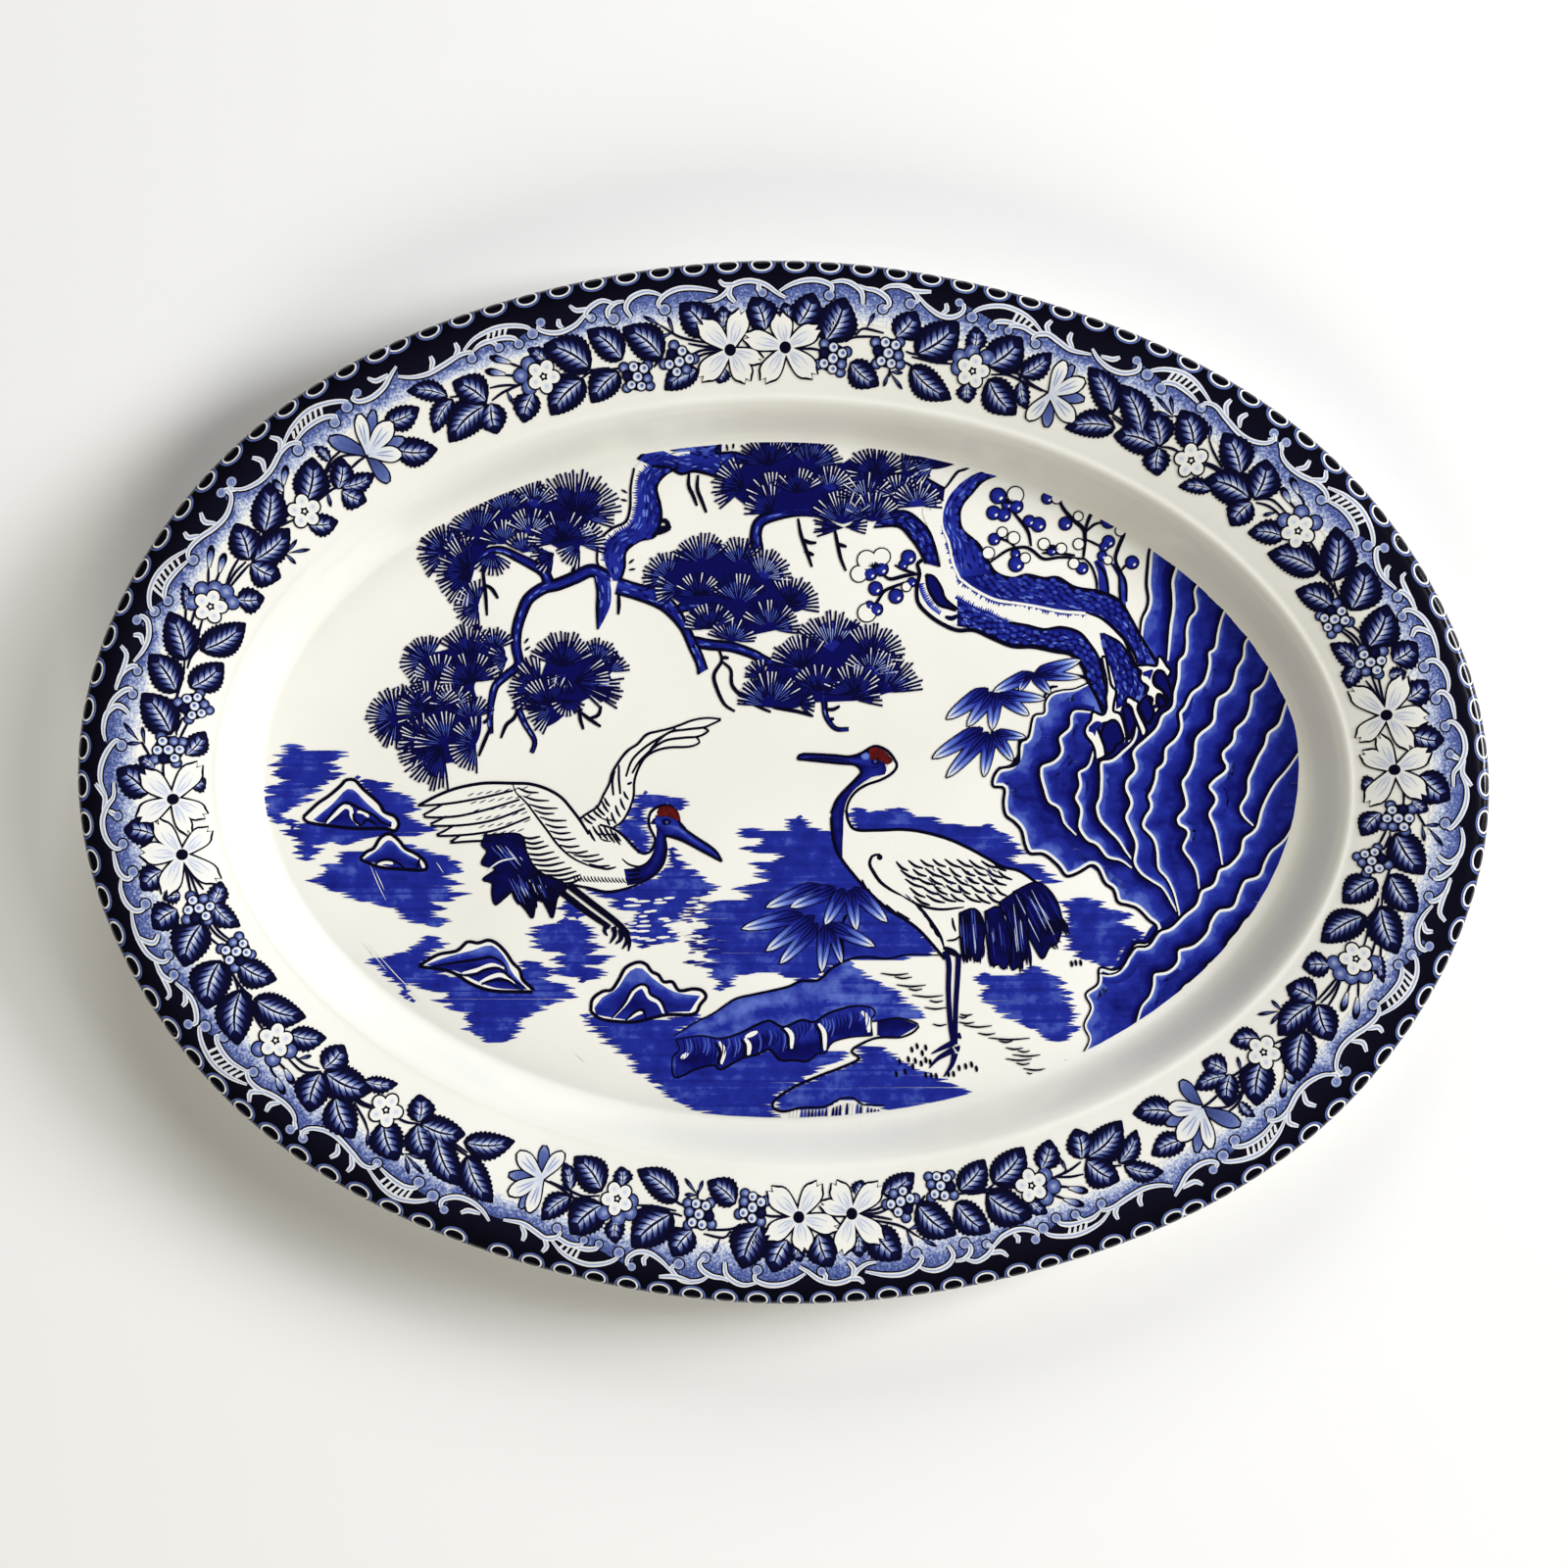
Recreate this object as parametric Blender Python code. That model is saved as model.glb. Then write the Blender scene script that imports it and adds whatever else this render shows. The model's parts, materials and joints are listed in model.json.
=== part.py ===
"""An oval china serving platter with its printed decoration.

One fired earthenware body carries a rolled rim, a sloping cavetto, a flat well and a foot ring.
Each printed tissue and each touch of enamel is a separate thin layer that lies on the body's face.
Frame: metres, +Z up, +X along the platter, origin on the surface that the foot stands on.
"""

import math

import bmesh
import bpy
from mathutils import Vector

# Overall sizes
LENGTH = 0.406
WIDTH = 0.300
HEIGHT = 0.030

# The rim's outline is an ellipse that swells a little at its shoulders
SHOULDER_SWELL = 0.00037
LOBE_SWELL = 0.00035

# Widths that are measured inwards from the rim's edge
ROLL_WIDTH = 0.006
RIM_WIDTH = 0.038
CAVETTO_RUN = 0.014

# Heights and walls
ROLL_DROP = 0.0018
RIM_RISE = 0.008
FLOOR_THICKNESS = 0.005
LIP_RADIUS = 0.0021
WALL_SHIFT = 0.003

# Foot ring under the well
FOOT_HEIGHT = 0.0025
FOOT_INSET = 0.0005
FOOT_WIDTH = 0.006
FOOT_CHAMFER = 0.0007

# Printed layers
LAYER_GAP = 0.0001
LAYER_THICKNESS = 0.0001
BORDER_START = 0.0024
BORDER_WIDTH = 0.0336
BORDER_JOIN_GAP = 0.0004
WELL_PRINT_INSET = 0.001

# Enamel on the two birds' crowns: centre, half length, half width and turn
ENAMEL_CROWNS = {
    "crown_enamel_flying_bird": ((-0.0355, -0.0085), 0.0035, 0.0018, 20),
    "crown_enamel_standing_bird": ((0.0285, 0.0075), 0.0034, 0.0018, -20),
}

# Fineness of the faceted solids
COLUMNS = 72
LIP_STEPS = 4
ROLL_STEPS = 4
RIM_STEPS = 3
CAVETTO_STEPS = 8
ENAMEL_SIDES = 16

# The four border tissues meet at these columns, counted anticlockwise from +X
JOIN_COLUMNS = {"north": (13, 25), "west": (25, 49), "south": (49, 61), "east": (61, 85)}

# Heights that follow from the sizes above
CREST_Z = HEIGHT
SHOULDER_Z = HEIGHT - RIM_RISE
WELL_Z = FOOT_HEIGHT + FLOOR_THICKNESS
WELL_EDGE = RIM_WIDTH + CAVETTO_RUN

# name: (colour, roughness)
FINISHES = {
    "glazed_china": ((0.90, 0.89, 0.84), 0.12),
    "cobalt_border": ((0.02, 0.02, 0.12), 0.12),
    "cobalt_scene": ((0.05, 0.07, 0.45), 0.12),
    "red_enamel": ((0.16, 0.01, 0.02), 0.25),
}


def clear_scene():
    """Removes whatever the file opened with."""
    for old in list(bpy.data.objects):
        bpy.data.objects.remove(old)


def finish(name):
    """One Principled material for each finish, made on first use."""
    if name in bpy.data.materials:
        return bpy.data.materials[name]
    colour, roughness = FINISHES[name]
    material = bpy.data.materials.new(name)
    material.use_nodes = True
    shader = material.node_tree.nodes["Principled BSDF"]
    shader.inputs["Base Color"].default_value = (*colour, 1)
    shader.inputs["Roughness"].default_value = roughness
    shader.inputs["Metallic"].default_value = 0
    return material


def edge_swell(turn):
    """How far the outline stands off its ellipse at this angle."""
    return LOBE_SWELL * math.cos(8 * turn) - SHOULDER_SWELL * math.cos(4 * turn)


def plan_point(column, inset):
    """A point of the plan, inset from the rim's edge and square to it."""
    turn = 2 * math.pi * column / COLUMNS
    edge = Vector((LENGTH / 2 * math.cos(turn), WIDTH / 2 * math.sin(turn)))
    outward = Vector((WIDTH / 2 * math.cos(turn), LENGTH / 2 * math.sin(turn))).normalized()
    fade = max(0, 1 - inset / RIM_WIDTH)
    return edge + outward * (edge_swell(turn) * fade - inset)


def smooth_step(share):
    """0 to 1 with level ends."""
    return share * share * (3 - 2 * share)


def face_height(inset):
    """Height of the upper face at this distance in from the edge."""
    if inset >= WELL_EDGE:
        return WELL_Z
    if inset >= RIM_WIDTH:
        up = (WELL_EDGE - inset) / CAVETTO_RUN
        return WELL_Z + (SHOULDER_Z - WELL_Z) * smooth_step(up)
    if inset >= ROLL_WIDTH:
        out = (RIM_WIDTH - inset) / (RIM_WIDTH - ROLL_WIDTH)
        return SHOULDER_Z + RIM_RISE * math.sin(out * math.pi / 2)
    return CREST_Z - ROLL_DROP * (1 - inset / ROLL_WIDTH) ** 2


def spread(start, end, steps):
    """steps values from start up to, but not including, end."""
    return [start + (end - start) * k / steps for k in range(steps)]


def face_insets():
    """Where the upper face has its rings, from the well out to the lip."""
    return (
        [WELL_EDGE + WELL_PRINT_INSET]
        + spread(WELL_EDGE, RIM_WIDTH, CAVETTO_STEPS)
        + spread(RIM_WIDTH, ROLL_WIDTH, RIM_STEPS)
        + spread(ROLL_WIDTH, LIP_RADIUS, ROLL_STEPS)
    )


def lip_stations():
    """The half-round lip, from its top to its underside."""
    centre_z = face_height(LIP_RADIUS) - LIP_RADIUS
    stations = []
    for k in range(LIP_STEPS + 1):
        turn = math.pi * k / LIP_STEPS
        inset = LIP_RADIUS - LIP_RADIUS * math.sin(turn)
        stations.append((inset, centre_z + LIP_RADIUS * math.cos(turn)))
    return stations


def under_stations():
    """The underside, from the rim in to the foot ring and across its sole."""
    insets = (
        spread(ROLL_WIDTH, RIM_WIDTH, RIM_STEPS)[1:]
        + spread(RIM_WIDTH, WELL_EDGE, CAVETTO_STEPS)
        + [WELL_EDGE]
    )
    shell = [(d - WALL_SHIFT, face_height(d) - FLOOR_THICKNESS) for d in insets]
    outer = WELL_EDGE - WALL_SHIFT + FOOT_INSET
    inner = outer + FOOT_WIDTH
    foot = [
        (outer, FOOT_HEIGHT),
        (outer + FOOT_CHAMFER / 2, FOOT_CHAMFER),
        (outer + FOOT_CHAMFER, 0),
        (inner - FOOT_CHAMFER, 0),
        (inner - FOOT_CHAMFER / 2, FOOT_CHAMFER),
        (inner, FOOT_HEIGHT),
    ]
    return shell + foot


def add_ring(mesh, points):
    """The corners of one closed ring."""
    return [mesh.verts.new(p) for p in points]


def bridge(mesh, lower, upper):
    """A band of four-sided faces between two rings of equal count."""
    for k, corner in enumerate(lower):
        after = (k + 1) % len(lower)
        mesh.faces.new((corner, lower[after], upper[after], upper[k]))


def close_ring(mesh, ring):
    """A flat floor over a ring, divided from its middle."""
    bmesh.ops.poke(mesh, faces=[mesh.faces.new(ring)])


def ring_points(inset, height):
    """One ring of the platter, square to its edge all round."""
    return [(*plan_point(column, inset), height) for column in range(COLUMNS)]


def add_object(name, mesh, finish_name):
    """Turns a bmesh into a named object with its faces pointing out."""
    bmesh.ops.recalc_face_normals(mesh, faces=mesh.faces)
    data = bpy.data.meshes.new(name)
    mesh.to_mesh(data)
    mesh.free()
    data.materials.append(finish(finish_name))
    data.shade_smooth()
    data.set_sharp_from_angle(angle=math.radians(40))
    made = bpy.data.objects.new(name, data)
    bpy.context.collection.objects.link(made)
    return made


def make_body():
    """The fired body: rings from the well, over the lip and back to the foot, closed by two floors."""
    stations = [(d, face_height(d)) for d in face_insets()] + lip_stations() + under_stations()
    mesh = bmesh.new()
    rings = [add_ring(mesh, ring_points(inset, height)) for inset, height in stations]
    for inner, outer in zip(rings, rings[1:]):
        bridge(mesh, inner, outer)
    close_ring(mesh, rings[0])
    close_ring(mesh, rings[-1])
    return add_object("platter_body", mesh, "glazed_china")


def chord_point(column, inset):
    """A point on the body's faceted face, between two of its columns."""
    low = math.floor(column)
    return plan_point(low, inset).lerp(plan_point(low + 1, inset), column - low)


def border_insets():
    """The body's own rings that a border tissue covers, with the tissue's two edges."""
    start, end = BORDER_START, BORDER_START + BORDER_WIDTH
    inside = [d for d in reversed(face_insets()) if start + LAYER_GAP < d < end - LAYER_GAP]
    return [start] + inside + [end]


def face_chord_height(inset):
    """Height of the faceted face, which runs straight between the body's rings."""
    rings = [LIP_RADIUS] + list(reversed(face_insets()))
    for low, high in zip(rings, rings[1:]):
        if low <= inset <= high:
            share = (inset - low) / (high - low)
            return face_height(low) * (1 - share) + face_height(high) * share
    return WELL_Z


def make_border_tissue(name, first_column, last_column):
    """A thin strip laid on the rim, cut short of its neighbours at both joins."""
    column_width = math.pi * (LENGTH + WIDTH) / 2 / COLUMNS
    trim = BORDER_JOIN_GAP / 2 / column_width
    columns = [first_column + trim] + list(range(first_column + 1, last_column)) + [last_column - trim]
    mesh = bmesh.new()
    rows = []
    for inset in border_insets():
        lowest = face_chord_height(inset) + LAYER_GAP
        rows.append([mesh.verts.new((*chord_point(c, inset), lowest)) for c in columns])
    for outer, inner in zip(rows, rows[1:]):
        for k in range(len(columns) - 1):
            mesh.faces.new((outer[k], outer[k + 1], inner[k + 1], inner[k]))
    raised = bmesh.ops.extrude_face_region(mesh, geom=mesh.faces[:], use_keep_orig=True)
    lifted = [part for part in raised["geom"] if isinstance(part, bmesh.types.BMVert)]
    bmesh.ops.translate(mesh, verts=lifted, vec=(0, 0, LAYER_THICKNESS))
    return add_object(name, mesh, "cobalt_border")


def make_well_tissue():
    """The scene's tissue, a thin oval sheet on the flat of the well."""
    mesh = bmesh.new()
    bottom = add_ring(mesh, ring_points(WELL_EDGE + WELL_PRINT_INSET, WELL_Z + LAYER_GAP))
    close_ring(mesh, bottom)
    raised = bmesh.ops.extrude_face_region(mesh, geom=mesh.faces[:], use_keep_orig=True)
    lifted = [part for part in raised["geom"] if isinstance(part, bmesh.types.BMVert)]
    bmesh.ops.translate(mesh, verts=lifted, vec=(0, 0, LAYER_THICKNESS))
    return add_object("scene_print", mesh, "cobalt_scene")


def make_enamel(name, centre, half_length, half_width, turn_degrees):
    """A small oval touch of enamel over the scene's tissue."""
    mesh = bmesh.new()
    bmesh.ops.create_cone(
        mesh,
        cap_ends=True,
        segments=ENAMEL_SIDES,
        radius1=1,
        radius2=1,
        depth=1,
    )
    bmesh.ops.scale(mesh, verts=mesh.verts, vec=(half_length, half_width, LAYER_THICKNESS))
    made = add_object(name, mesh, "red_enamel")
    above_scene = WELL_Z + 2 * (LAYER_GAP + LAYER_THICKNESS)
    made.location = (*centre, above_scene - LAYER_THICKNESS / 2)
    made.rotation_euler.z = math.radians(turn_degrees)
    return made


def main():
    clear_scene()
    make_body()
    for side, (first, last) in JOIN_COLUMNS.items():
        make_border_tissue(f"border_print_{side}", first, last)
    make_well_tissue()
    for name, (centre, half_length, half_width, turn) in ENAMEL_CROWNS.items():
        make_enamel(name, centre, half_length, half_width, turn)


main()
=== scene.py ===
# %% [markdown]
# # An oval china serving platter
# The platter is one fired earthenware body, glazed white, and its decoration is a set of thin printed
# layers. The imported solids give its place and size. Everything here is drawn in millimetres, because
# that is how a potter and an engraver would measure it, and turned into metres at the last moment.

# %% The frame that everything is fitted to
import bisect
import json
import math
import random

import bmesh
import bpy
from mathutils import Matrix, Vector

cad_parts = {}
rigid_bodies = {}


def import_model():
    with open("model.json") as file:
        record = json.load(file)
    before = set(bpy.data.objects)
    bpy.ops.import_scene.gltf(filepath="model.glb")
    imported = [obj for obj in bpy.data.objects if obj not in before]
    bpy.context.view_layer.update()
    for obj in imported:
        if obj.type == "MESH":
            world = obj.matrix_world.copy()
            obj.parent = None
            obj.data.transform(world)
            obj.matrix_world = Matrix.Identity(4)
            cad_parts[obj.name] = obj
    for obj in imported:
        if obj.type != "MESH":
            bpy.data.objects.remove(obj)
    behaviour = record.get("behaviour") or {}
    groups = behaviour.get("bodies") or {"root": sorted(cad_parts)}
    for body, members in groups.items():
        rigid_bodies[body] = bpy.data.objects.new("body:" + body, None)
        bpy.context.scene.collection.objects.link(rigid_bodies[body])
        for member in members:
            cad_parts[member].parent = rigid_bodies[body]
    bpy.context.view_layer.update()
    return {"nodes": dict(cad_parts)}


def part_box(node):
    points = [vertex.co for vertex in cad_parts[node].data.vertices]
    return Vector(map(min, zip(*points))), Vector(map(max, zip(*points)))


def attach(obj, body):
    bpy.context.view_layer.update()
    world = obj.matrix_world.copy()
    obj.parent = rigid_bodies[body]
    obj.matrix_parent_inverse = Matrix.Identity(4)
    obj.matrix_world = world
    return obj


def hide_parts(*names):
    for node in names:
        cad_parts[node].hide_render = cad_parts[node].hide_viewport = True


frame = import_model()
MM = 0.001


def reading(word):
    """A place from a word like 12.5,3, or a number, or else the word itself."""
    if "," in word:
        return tuple(reading(part) for part in word.split(","))
    if word.strip("-.0123456789"):
        return word
    return float(word) if "." in word else int(word)


def xy(text):
    """The places in a text of x,y pairs, in millimetres. Lone numbers and words may follow them."""
    return [reading(word) for word in text.split()]


def table(text):
    """The rows of a text, parted by slashes. Each is a list of places, numbers and words."""
    return [xy(row) for row in text.split("/")]


print("packed nodes:", sorted(frame["nodes"]))

# %% [markdown]
# ## The platter's plan and section
# A platter's outline is an oval, and every line on its rim keeps its distance to the edge. So a place
# on it has two measures: the turn round the oval, and the inset from the edge. The same two measures
# serve the body and the print, which is why the print can't part from the glaze.

# %% The plan: an oval, and rings that keep their distance to its edge
SHOULDER_SWELL = 0.37
LOBE_SWELL = 0.35
RIM_WIDTH = 38.0


def edge_swell(turn):
    """How far the real outline stands off a pure ellipse."""
    return LOBE_SWELL * math.cos(8 * turn) - SHOULDER_SWELL * math.cos(4 * turn)


BODY_HIGH = Vector(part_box("platter_body")[1]) / MM
HALF_LENGTH = BODY_HIGH.x - edge_swell(0)
HALF_WIDTH = BODY_HIGH.y - edge_swell(math.pi / 2)


def plan_point(turn, inset):
    """A point of the plan, square in from the edge."""
    across, along = math.cos(turn), math.sin(turn)
    outward = Vector((HALF_WIDTH * across, HALF_LENGTH * along)).normalized()
    reach = edge_swell(turn) * max(0, 1 - inset / RIM_WIDTH) - inset
    return Vector((HALF_LENGTH * across, HALF_WIDTH * along)) + outward * reach


print(f"plan: {2 * HALF_LENGTH:.1f} x {2 * HALF_WIDTH:.1f} mm")

# %% The section: rolled edge, rim, cavetto and well
ROLL_WIDTH = 6.0
CAVETTO_RUN = 14.0
ROLL_DROP = 1.8
RIM_RISE = 8.0
WALL = 5.0
LIP_RADIUS = 2.1
LIP_TURN = math.pi * 0.75
PRINT_GAP = 0.1
CREST_Z = BODY_HIGH.z
WELL_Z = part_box("scene_print")[0][2] / MM - PRINT_GAP
SHOULDER_Z = CREST_Z - RIM_RISE
WELL_EDGE = RIM_WIDTH + CAVETTO_RUN
LIP_Z = CREST_Z - ROLL_DROP * (1 - LIP_RADIUS / ROLL_WIDTH) ** 2 - LIP_RADIUS


def face_height(inset):
    """Height of the upper face at this inset."""
    if inset >= WELL_EDGE:
        return WELL_Z
    if inset >= RIM_WIDTH:
        up = (WELL_EDGE - inset) / CAVETTO_RUN
        return WELL_Z + (SHOULDER_Z - WELL_Z) * up * up * (3 - 2 * up)
    if inset >= ROLL_WIDTH:
        out = (RIM_WIDTH - inset) / (RIM_WIDTH - ROLL_WIDTH)
        return SHOULDER_Z + RIM_RISE * math.sin(out * math.pi / 2)
    return CREST_Z - ROLL_DROP * (1 - inset / ROLL_WIDTH) ** 2


def face_point(turn, depth, lift=0.0):
    """A point of the upper face. Past the lip's top, depth runs on over the rounded edge."""
    if depth >= LIP_RADIUS:
        return (*plan_point(turn, depth), face_height(depth) + lift)
    roll = min((LIP_RADIUS - depth) / LIP_RADIUS, LIP_TURN)
    radius = LIP_RADIUS + lift
    inset = LIP_RADIUS - radius * math.sin(roll)
    return (*plan_point(turn, inset), LIP_Z + radius * math.cos(roll))


print(f"section: crest {CREST_Z:.1f}, shoulder {SHOULDER_Z:.1f}, well {WELL_Z:.1f} mm")

# %% [markdown]
# ## Glaze and ink
# The ink lies under the clear glaze, so ink and bare body have the same gloss and differ only in
# colour. An engraver makes tones with finer or coarser dots. Here each flat shape carries a value
# named tone on its corners, and the finish turns tone into ink through a colour ramp. Noise that
# reads Object coordinates breaks the tone up a little, as real ink pools and starves.

# %% A glossy finish whose colour follows the tone
GLAZE_ROUGHNESS = 0.16


def new_material(name, roughness=GLAZE_ROUGHNESS):
    """An empty glossy material with its node tree, ready for a colour."""
    material = bpy.data.materials.new(name)
    material.use_nodes = True
    tree = material.node_tree
    shader = tree.nodes["Principled BSDF"]
    shader.inputs["Roughness"].default_value = roughness
    shader.inputs["IOR"].default_value = 1.5
    return material, tree, shader


def ramp_node(tree, stops):
    """A colour ramp with these (place, colour) stops."""
    ramp = tree.nodes.new("ShaderNodeValToRGB")
    elements = ramp.color_ramp.elements
    while len(elements) < len(stops):
        elements.new(0.5)
    for element, (place, colour) in zip(elements, stops):
        element.position = place
        element.color = (*colour, 1)
    return ramp


def noise_node(tree, scale, detail=3.0, stretch=(1, 1, 1)):
    """Noise on Object coordinates, in grains per metre."""
    place = tree.nodes.new("ShaderNodeTexCoord")
    mapping = tree.nodes.new("ShaderNodeMapping")
    mapping.inputs["Scale"].default_value = stretch
    noise = tree.nodes.new("ShaderNodeTexNoise")
    noise.inputs["Scale"].default_value = scale
    noise.inputs["Detail"].default_value = detail
    tree.links.new(place.outputs["Object"], mapping.inputs["Vector"])
    tree.links.new(mapping.outputs["Vector"], noise.inputs["Vector"])
    return noise


def math_node(tree, operation, *values):
    """One sum on up to three values, each a socket or a number."""
    node = tree.nodes.new("ShaderNodeMath")
    node.operation = operation
    for socket, value in zip(node.inputs, values):
        if isinstance(value, (int, float)):
            socket.default_value = value
        else:
            tree.links.new(value, socket)
    return node.outputs[0]


def ink_finish(name, stops, mottle=0.06, grain=900.0, cloud=0.0, cloud_scale=60.0):
    """Ink under glaze: tone, broken up by fine grain and by slow clouds, through the ramp."""
    material, tree, shader = new_material(name)
    tone = tree.nodes.new("ShaderNodeAttribute")
    tone.attribute_name = "tone"
    fine = math_node(tree, "SUBTRACT", noise_node(tree, grain, 2.0).outputs["Fac"], 0.5)
    slow = math_node(tree, "SUBTRACT", noise_node(tree, cloud_scale, 4.0).outputs["Fac"], 0.5)
    broken = math_node(tree, "MULTIPLY_ADD", fine, mottle, tone.outputs["Fac"])
    clouded = math_node(tree, "MULTIPLY_ADD", slow, cloud, broken)
    ramp = ramp_node(tree, stops)
    tree.links.new(clouded, ramp.inputs["Fac"])
    tree.links.new(ramp.outputs["Color"], shader.inputs["Base Color"])
    return material


print("finish tools ready")

# %% Colours, as linear light
def shade(red, green, blue):
    """A colour from its everyday 0 to 255 values."""
    values = (value / 255 for value in (red, green, blue))
    return tuple(v / 12.92 if v <= 0.04045 else ((v + 0.055) / 1.055) ** 2.4 for v in values)


IVORY = shade(236, 235, 228)
NIGHT = shade(4, 4, 26)
NAVY = shade(20, 22, 74)
SLATE = shade(84, 100, 162)
MIST = shade(186, 196, 220)

PRINT_STOPS = [(0.0, NIGHT), (0.3, NAVY), (0.62, SLATE), (0.85, MIST), (1.0, IVORY)]
leaf_ink = ink_finish("printed_leaf", PRINT_STOPS, mottle=0.16, grain=1300)
line_ink = ink_finish("printed_line", PRINT_STOPS, mottle=0.10)
petal_ink = ink_finish("printed_petal", PRINT_STOPS, mottle=0.05, cloud=0.05, cloud_scale=300)
scroll_ink = ink_finish("printed_scroll", PRINT_STOPS, mottle=0.07, cloud=0.05, cloud_scale=400)
# The edge ink runs from the near-black print of the band to a purple-grey that is a painted sheen on the
# roll.
edge_ink_and_sheen = ink_finish("printed_edge_and_sheen", [(0.0, shade(3, 3, 14)), (0.5, shade(24, 22, 44)), (1.0, SLATE)])
wash_ink = ink_finish("printed_wash", PRINT_STOPS, mottle=0.75, grain=1500, cloud=0.35, cloud_scale=500)
print("printed finishes:", [m.name for m in bpy.data.materials if m.name.startswith("printed")])

# %% [markdown]
# ## The fired body
# The clay is pressed over a mould, so its section is the same all round. It could be made by a spin,
# but a spin gives a circle. Here one ring of edges is laid on the well and extruded again and again:
# out over the rim, round the lip, and back under the platter to its foot.

# %% The body as one ring, extruded along the section
COLUMNS = 288
WALL_SHIFT = 3.0
FOOT_HEIGHT = 2.5
FOOT_INSET = 0.5
FOOT_WIDTH = 6.0


def evenly(start, end, steps):
    """steps values from start up to, but not including, end."""
    return [start + (end - start) * k / steps for k in range(steps)]


def upper_stations():
    """Depths across the upper face, from the well out and over the lip."""
    wall = evenly(WELL_EDGE, RIM_WIDTH, 28) + evenly(RIM_WIDTH, ROLL_WIDTH, 32)
    roll = evenly(ROLL_WIDTH, LIP_RADIUS, 10)
    lip = evenly(LIP_RADIUS, LIP_RADIUS * (1 - LIP_TURN), 18)
    return [WELL_EDGE + 1] + wall + roll + lip


def under_stations():
    """Inset and height along the underside, from behind the lip to the inside of the foot."""
    insets = evenly(ROLL_WIDTH + 3, RIM_WIDTH, 14) + evenly(RIM_WIDTH, WELL_EDGE, 18) + [WELL_EDGE]
    shell = [(d - WALL_SHIFT, face_height(d) - WALL) for d in insets]
    outer, inner = WELL_EDGE - WALL_SHIFT + FOOT_INSET, WELL_EDGE - WALL_SHIFT + FOOT_INSET + FOOT_WIDTH
    foot = [(outer, FOOT_HEIGHT), (outer + 0.2, 1.1), (outer + 0.55, 0.3), (outer + 1.1, 0)]
    foot += [(inner - 1.1, 0), (inner - 0.55, 0.3), (inner - 0.2, 1.1), (inner, FOOT_HEIGHT)]
    return shell + foot


TURNS = [2 * math.pi * k / COLUMNS for k in range(COLUMNS)]


def extruded_ring(mesh, edges, places, number):
    """The next ring of the body: a corner keeps its number when its edges are extruded."""
    made = bmesh.ops.extrude_edge_only(mesh, edges=edges)["geom"]
    for part in made:
        if isinstance(part, bmesh.types.BMVert):
            part.co = places[part[number]]
    return [part for part in made if isinstance(part, bmesh.types.BMEdge)]


def make_piece(name, mesh, *materials):
    """A bmesh in millimetres becomes a smooth object in metres."""
    bmesh.ops.scale(mesh, verts=mesh.verts, vec=(MM, MM, MM))
    data = bpy.data.meshes.new(name)
    mesh.to_mesh(data)
    mesh.free()
    for material in materials:
        data.materials.append(material)
    data.shade_smooth()
    piece = bpy.data.objects.new(name, data)
    bpy.context.collection.objects.link(piece)
    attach(piece, "root")
    return piece


def body_mesh():
    """The whole body, closed by the well's floor and the floor inside the foot."""
    mesh = bmesh.new()
    places = [[face_point(turn, depth) for turn in TURNS] for depth in upper_stations()]
    places += [[(*plan_point(t, inset), z) for t in TURNS] for inset, z in under_stations()]
    number = mesh.verts.layers.int.new("number")
    first = bmesh.ops.create_circle(mesh, segments=COLUMNS, radius=1)["verts"]
    for k, corner in enumerate(first):
        corner[number] = k
        corner.co = places[0][k]
    start = ring = mesh.edges[:]
    for level in places[1:]:
        ring = extruded_ring(mesh, ring, level, number)
    for end in (start, ring):
        floor = bmesh.ops.contextual_create(mesh, geom=end)["faces"]
        bmesh.ops.poke(mesh, faces=floor)
    bmesh.ops.recalc_face_normals(mesh, faces=mesh.faces)
    return mesh


print("rings of the body:", len(upper_stations()) + len(under_stations()))

# %% [markdown]
# The glaze is a clear glass over an ivory body. Its colour drifts in slow clouds, a little warmer or
# cooler, and use leaves knife marks on the well that only just show.

# %% White glaze, with knife marks
def glaze_finish():
    """Ivory glaze with slow clouds and faint long scratches."""
    material, tree, shader = new_material("ivory_glaze")
    clouds = ramp_node(tree, [(0.3, shade(230, 229, 221)), (0.7, shade(240, 239, 233))])
    tree.links.new(noise_node(tree, 14, 3.0).outputs["Fac"], clouds.inputs["Fac"])
    marks = noise_node(tree, 60, 2.0, stretch=(1, 9, 1))
    lines = math_node(tree, "ABSOLUTE", math_node(tree, "SUBTRACT", marks.outputs["Fac"], 0.5))
    thin = math_node(tree, "LESS_THAN", lines, 0.0012)
    where = math_node(tree, "GREATER_THAN", noise_node(tree, 25, 1.0).outputs["Fac"], 0.56)
    scratch = math_node(tree, "MULTIPLY", math_node(tree, "MULTIPLY", thin, where), 0.35)
    mix = tree.nodes.new("ShaderNodeMixRGB")
    mix.inputs["Color2"].default_value = (*shade(196, 196, 192), 1)
    tree.links.new(scratch, mix.inputs["Fac"])
    tree.links.new(clouds.outputs["Color"], mix.inputs["Color1"])
    tree.links.new(mix.outputs["Color"], shader.inputs["Base Color"])
    bump = tree.nodes.new("ShaderNodeBump")
    bump.inputs["Strength"].default_value = 0.05
    bump.inputs["Distance"].default_value = 0.0005
    tree.links.new(noise_node(tree, 120, 2.0).outputs["Fac"], bump.inputs["Height"])
    tree.links.new(bump.outputs["Normal"], shader.inputs["Normal"])
    return material


glaze = glaze_finish()
body = make_piece("glazed_body", body_mesh(), glaze)
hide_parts("platter_body")
print("body faces:", len(body.data.polygons))

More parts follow.
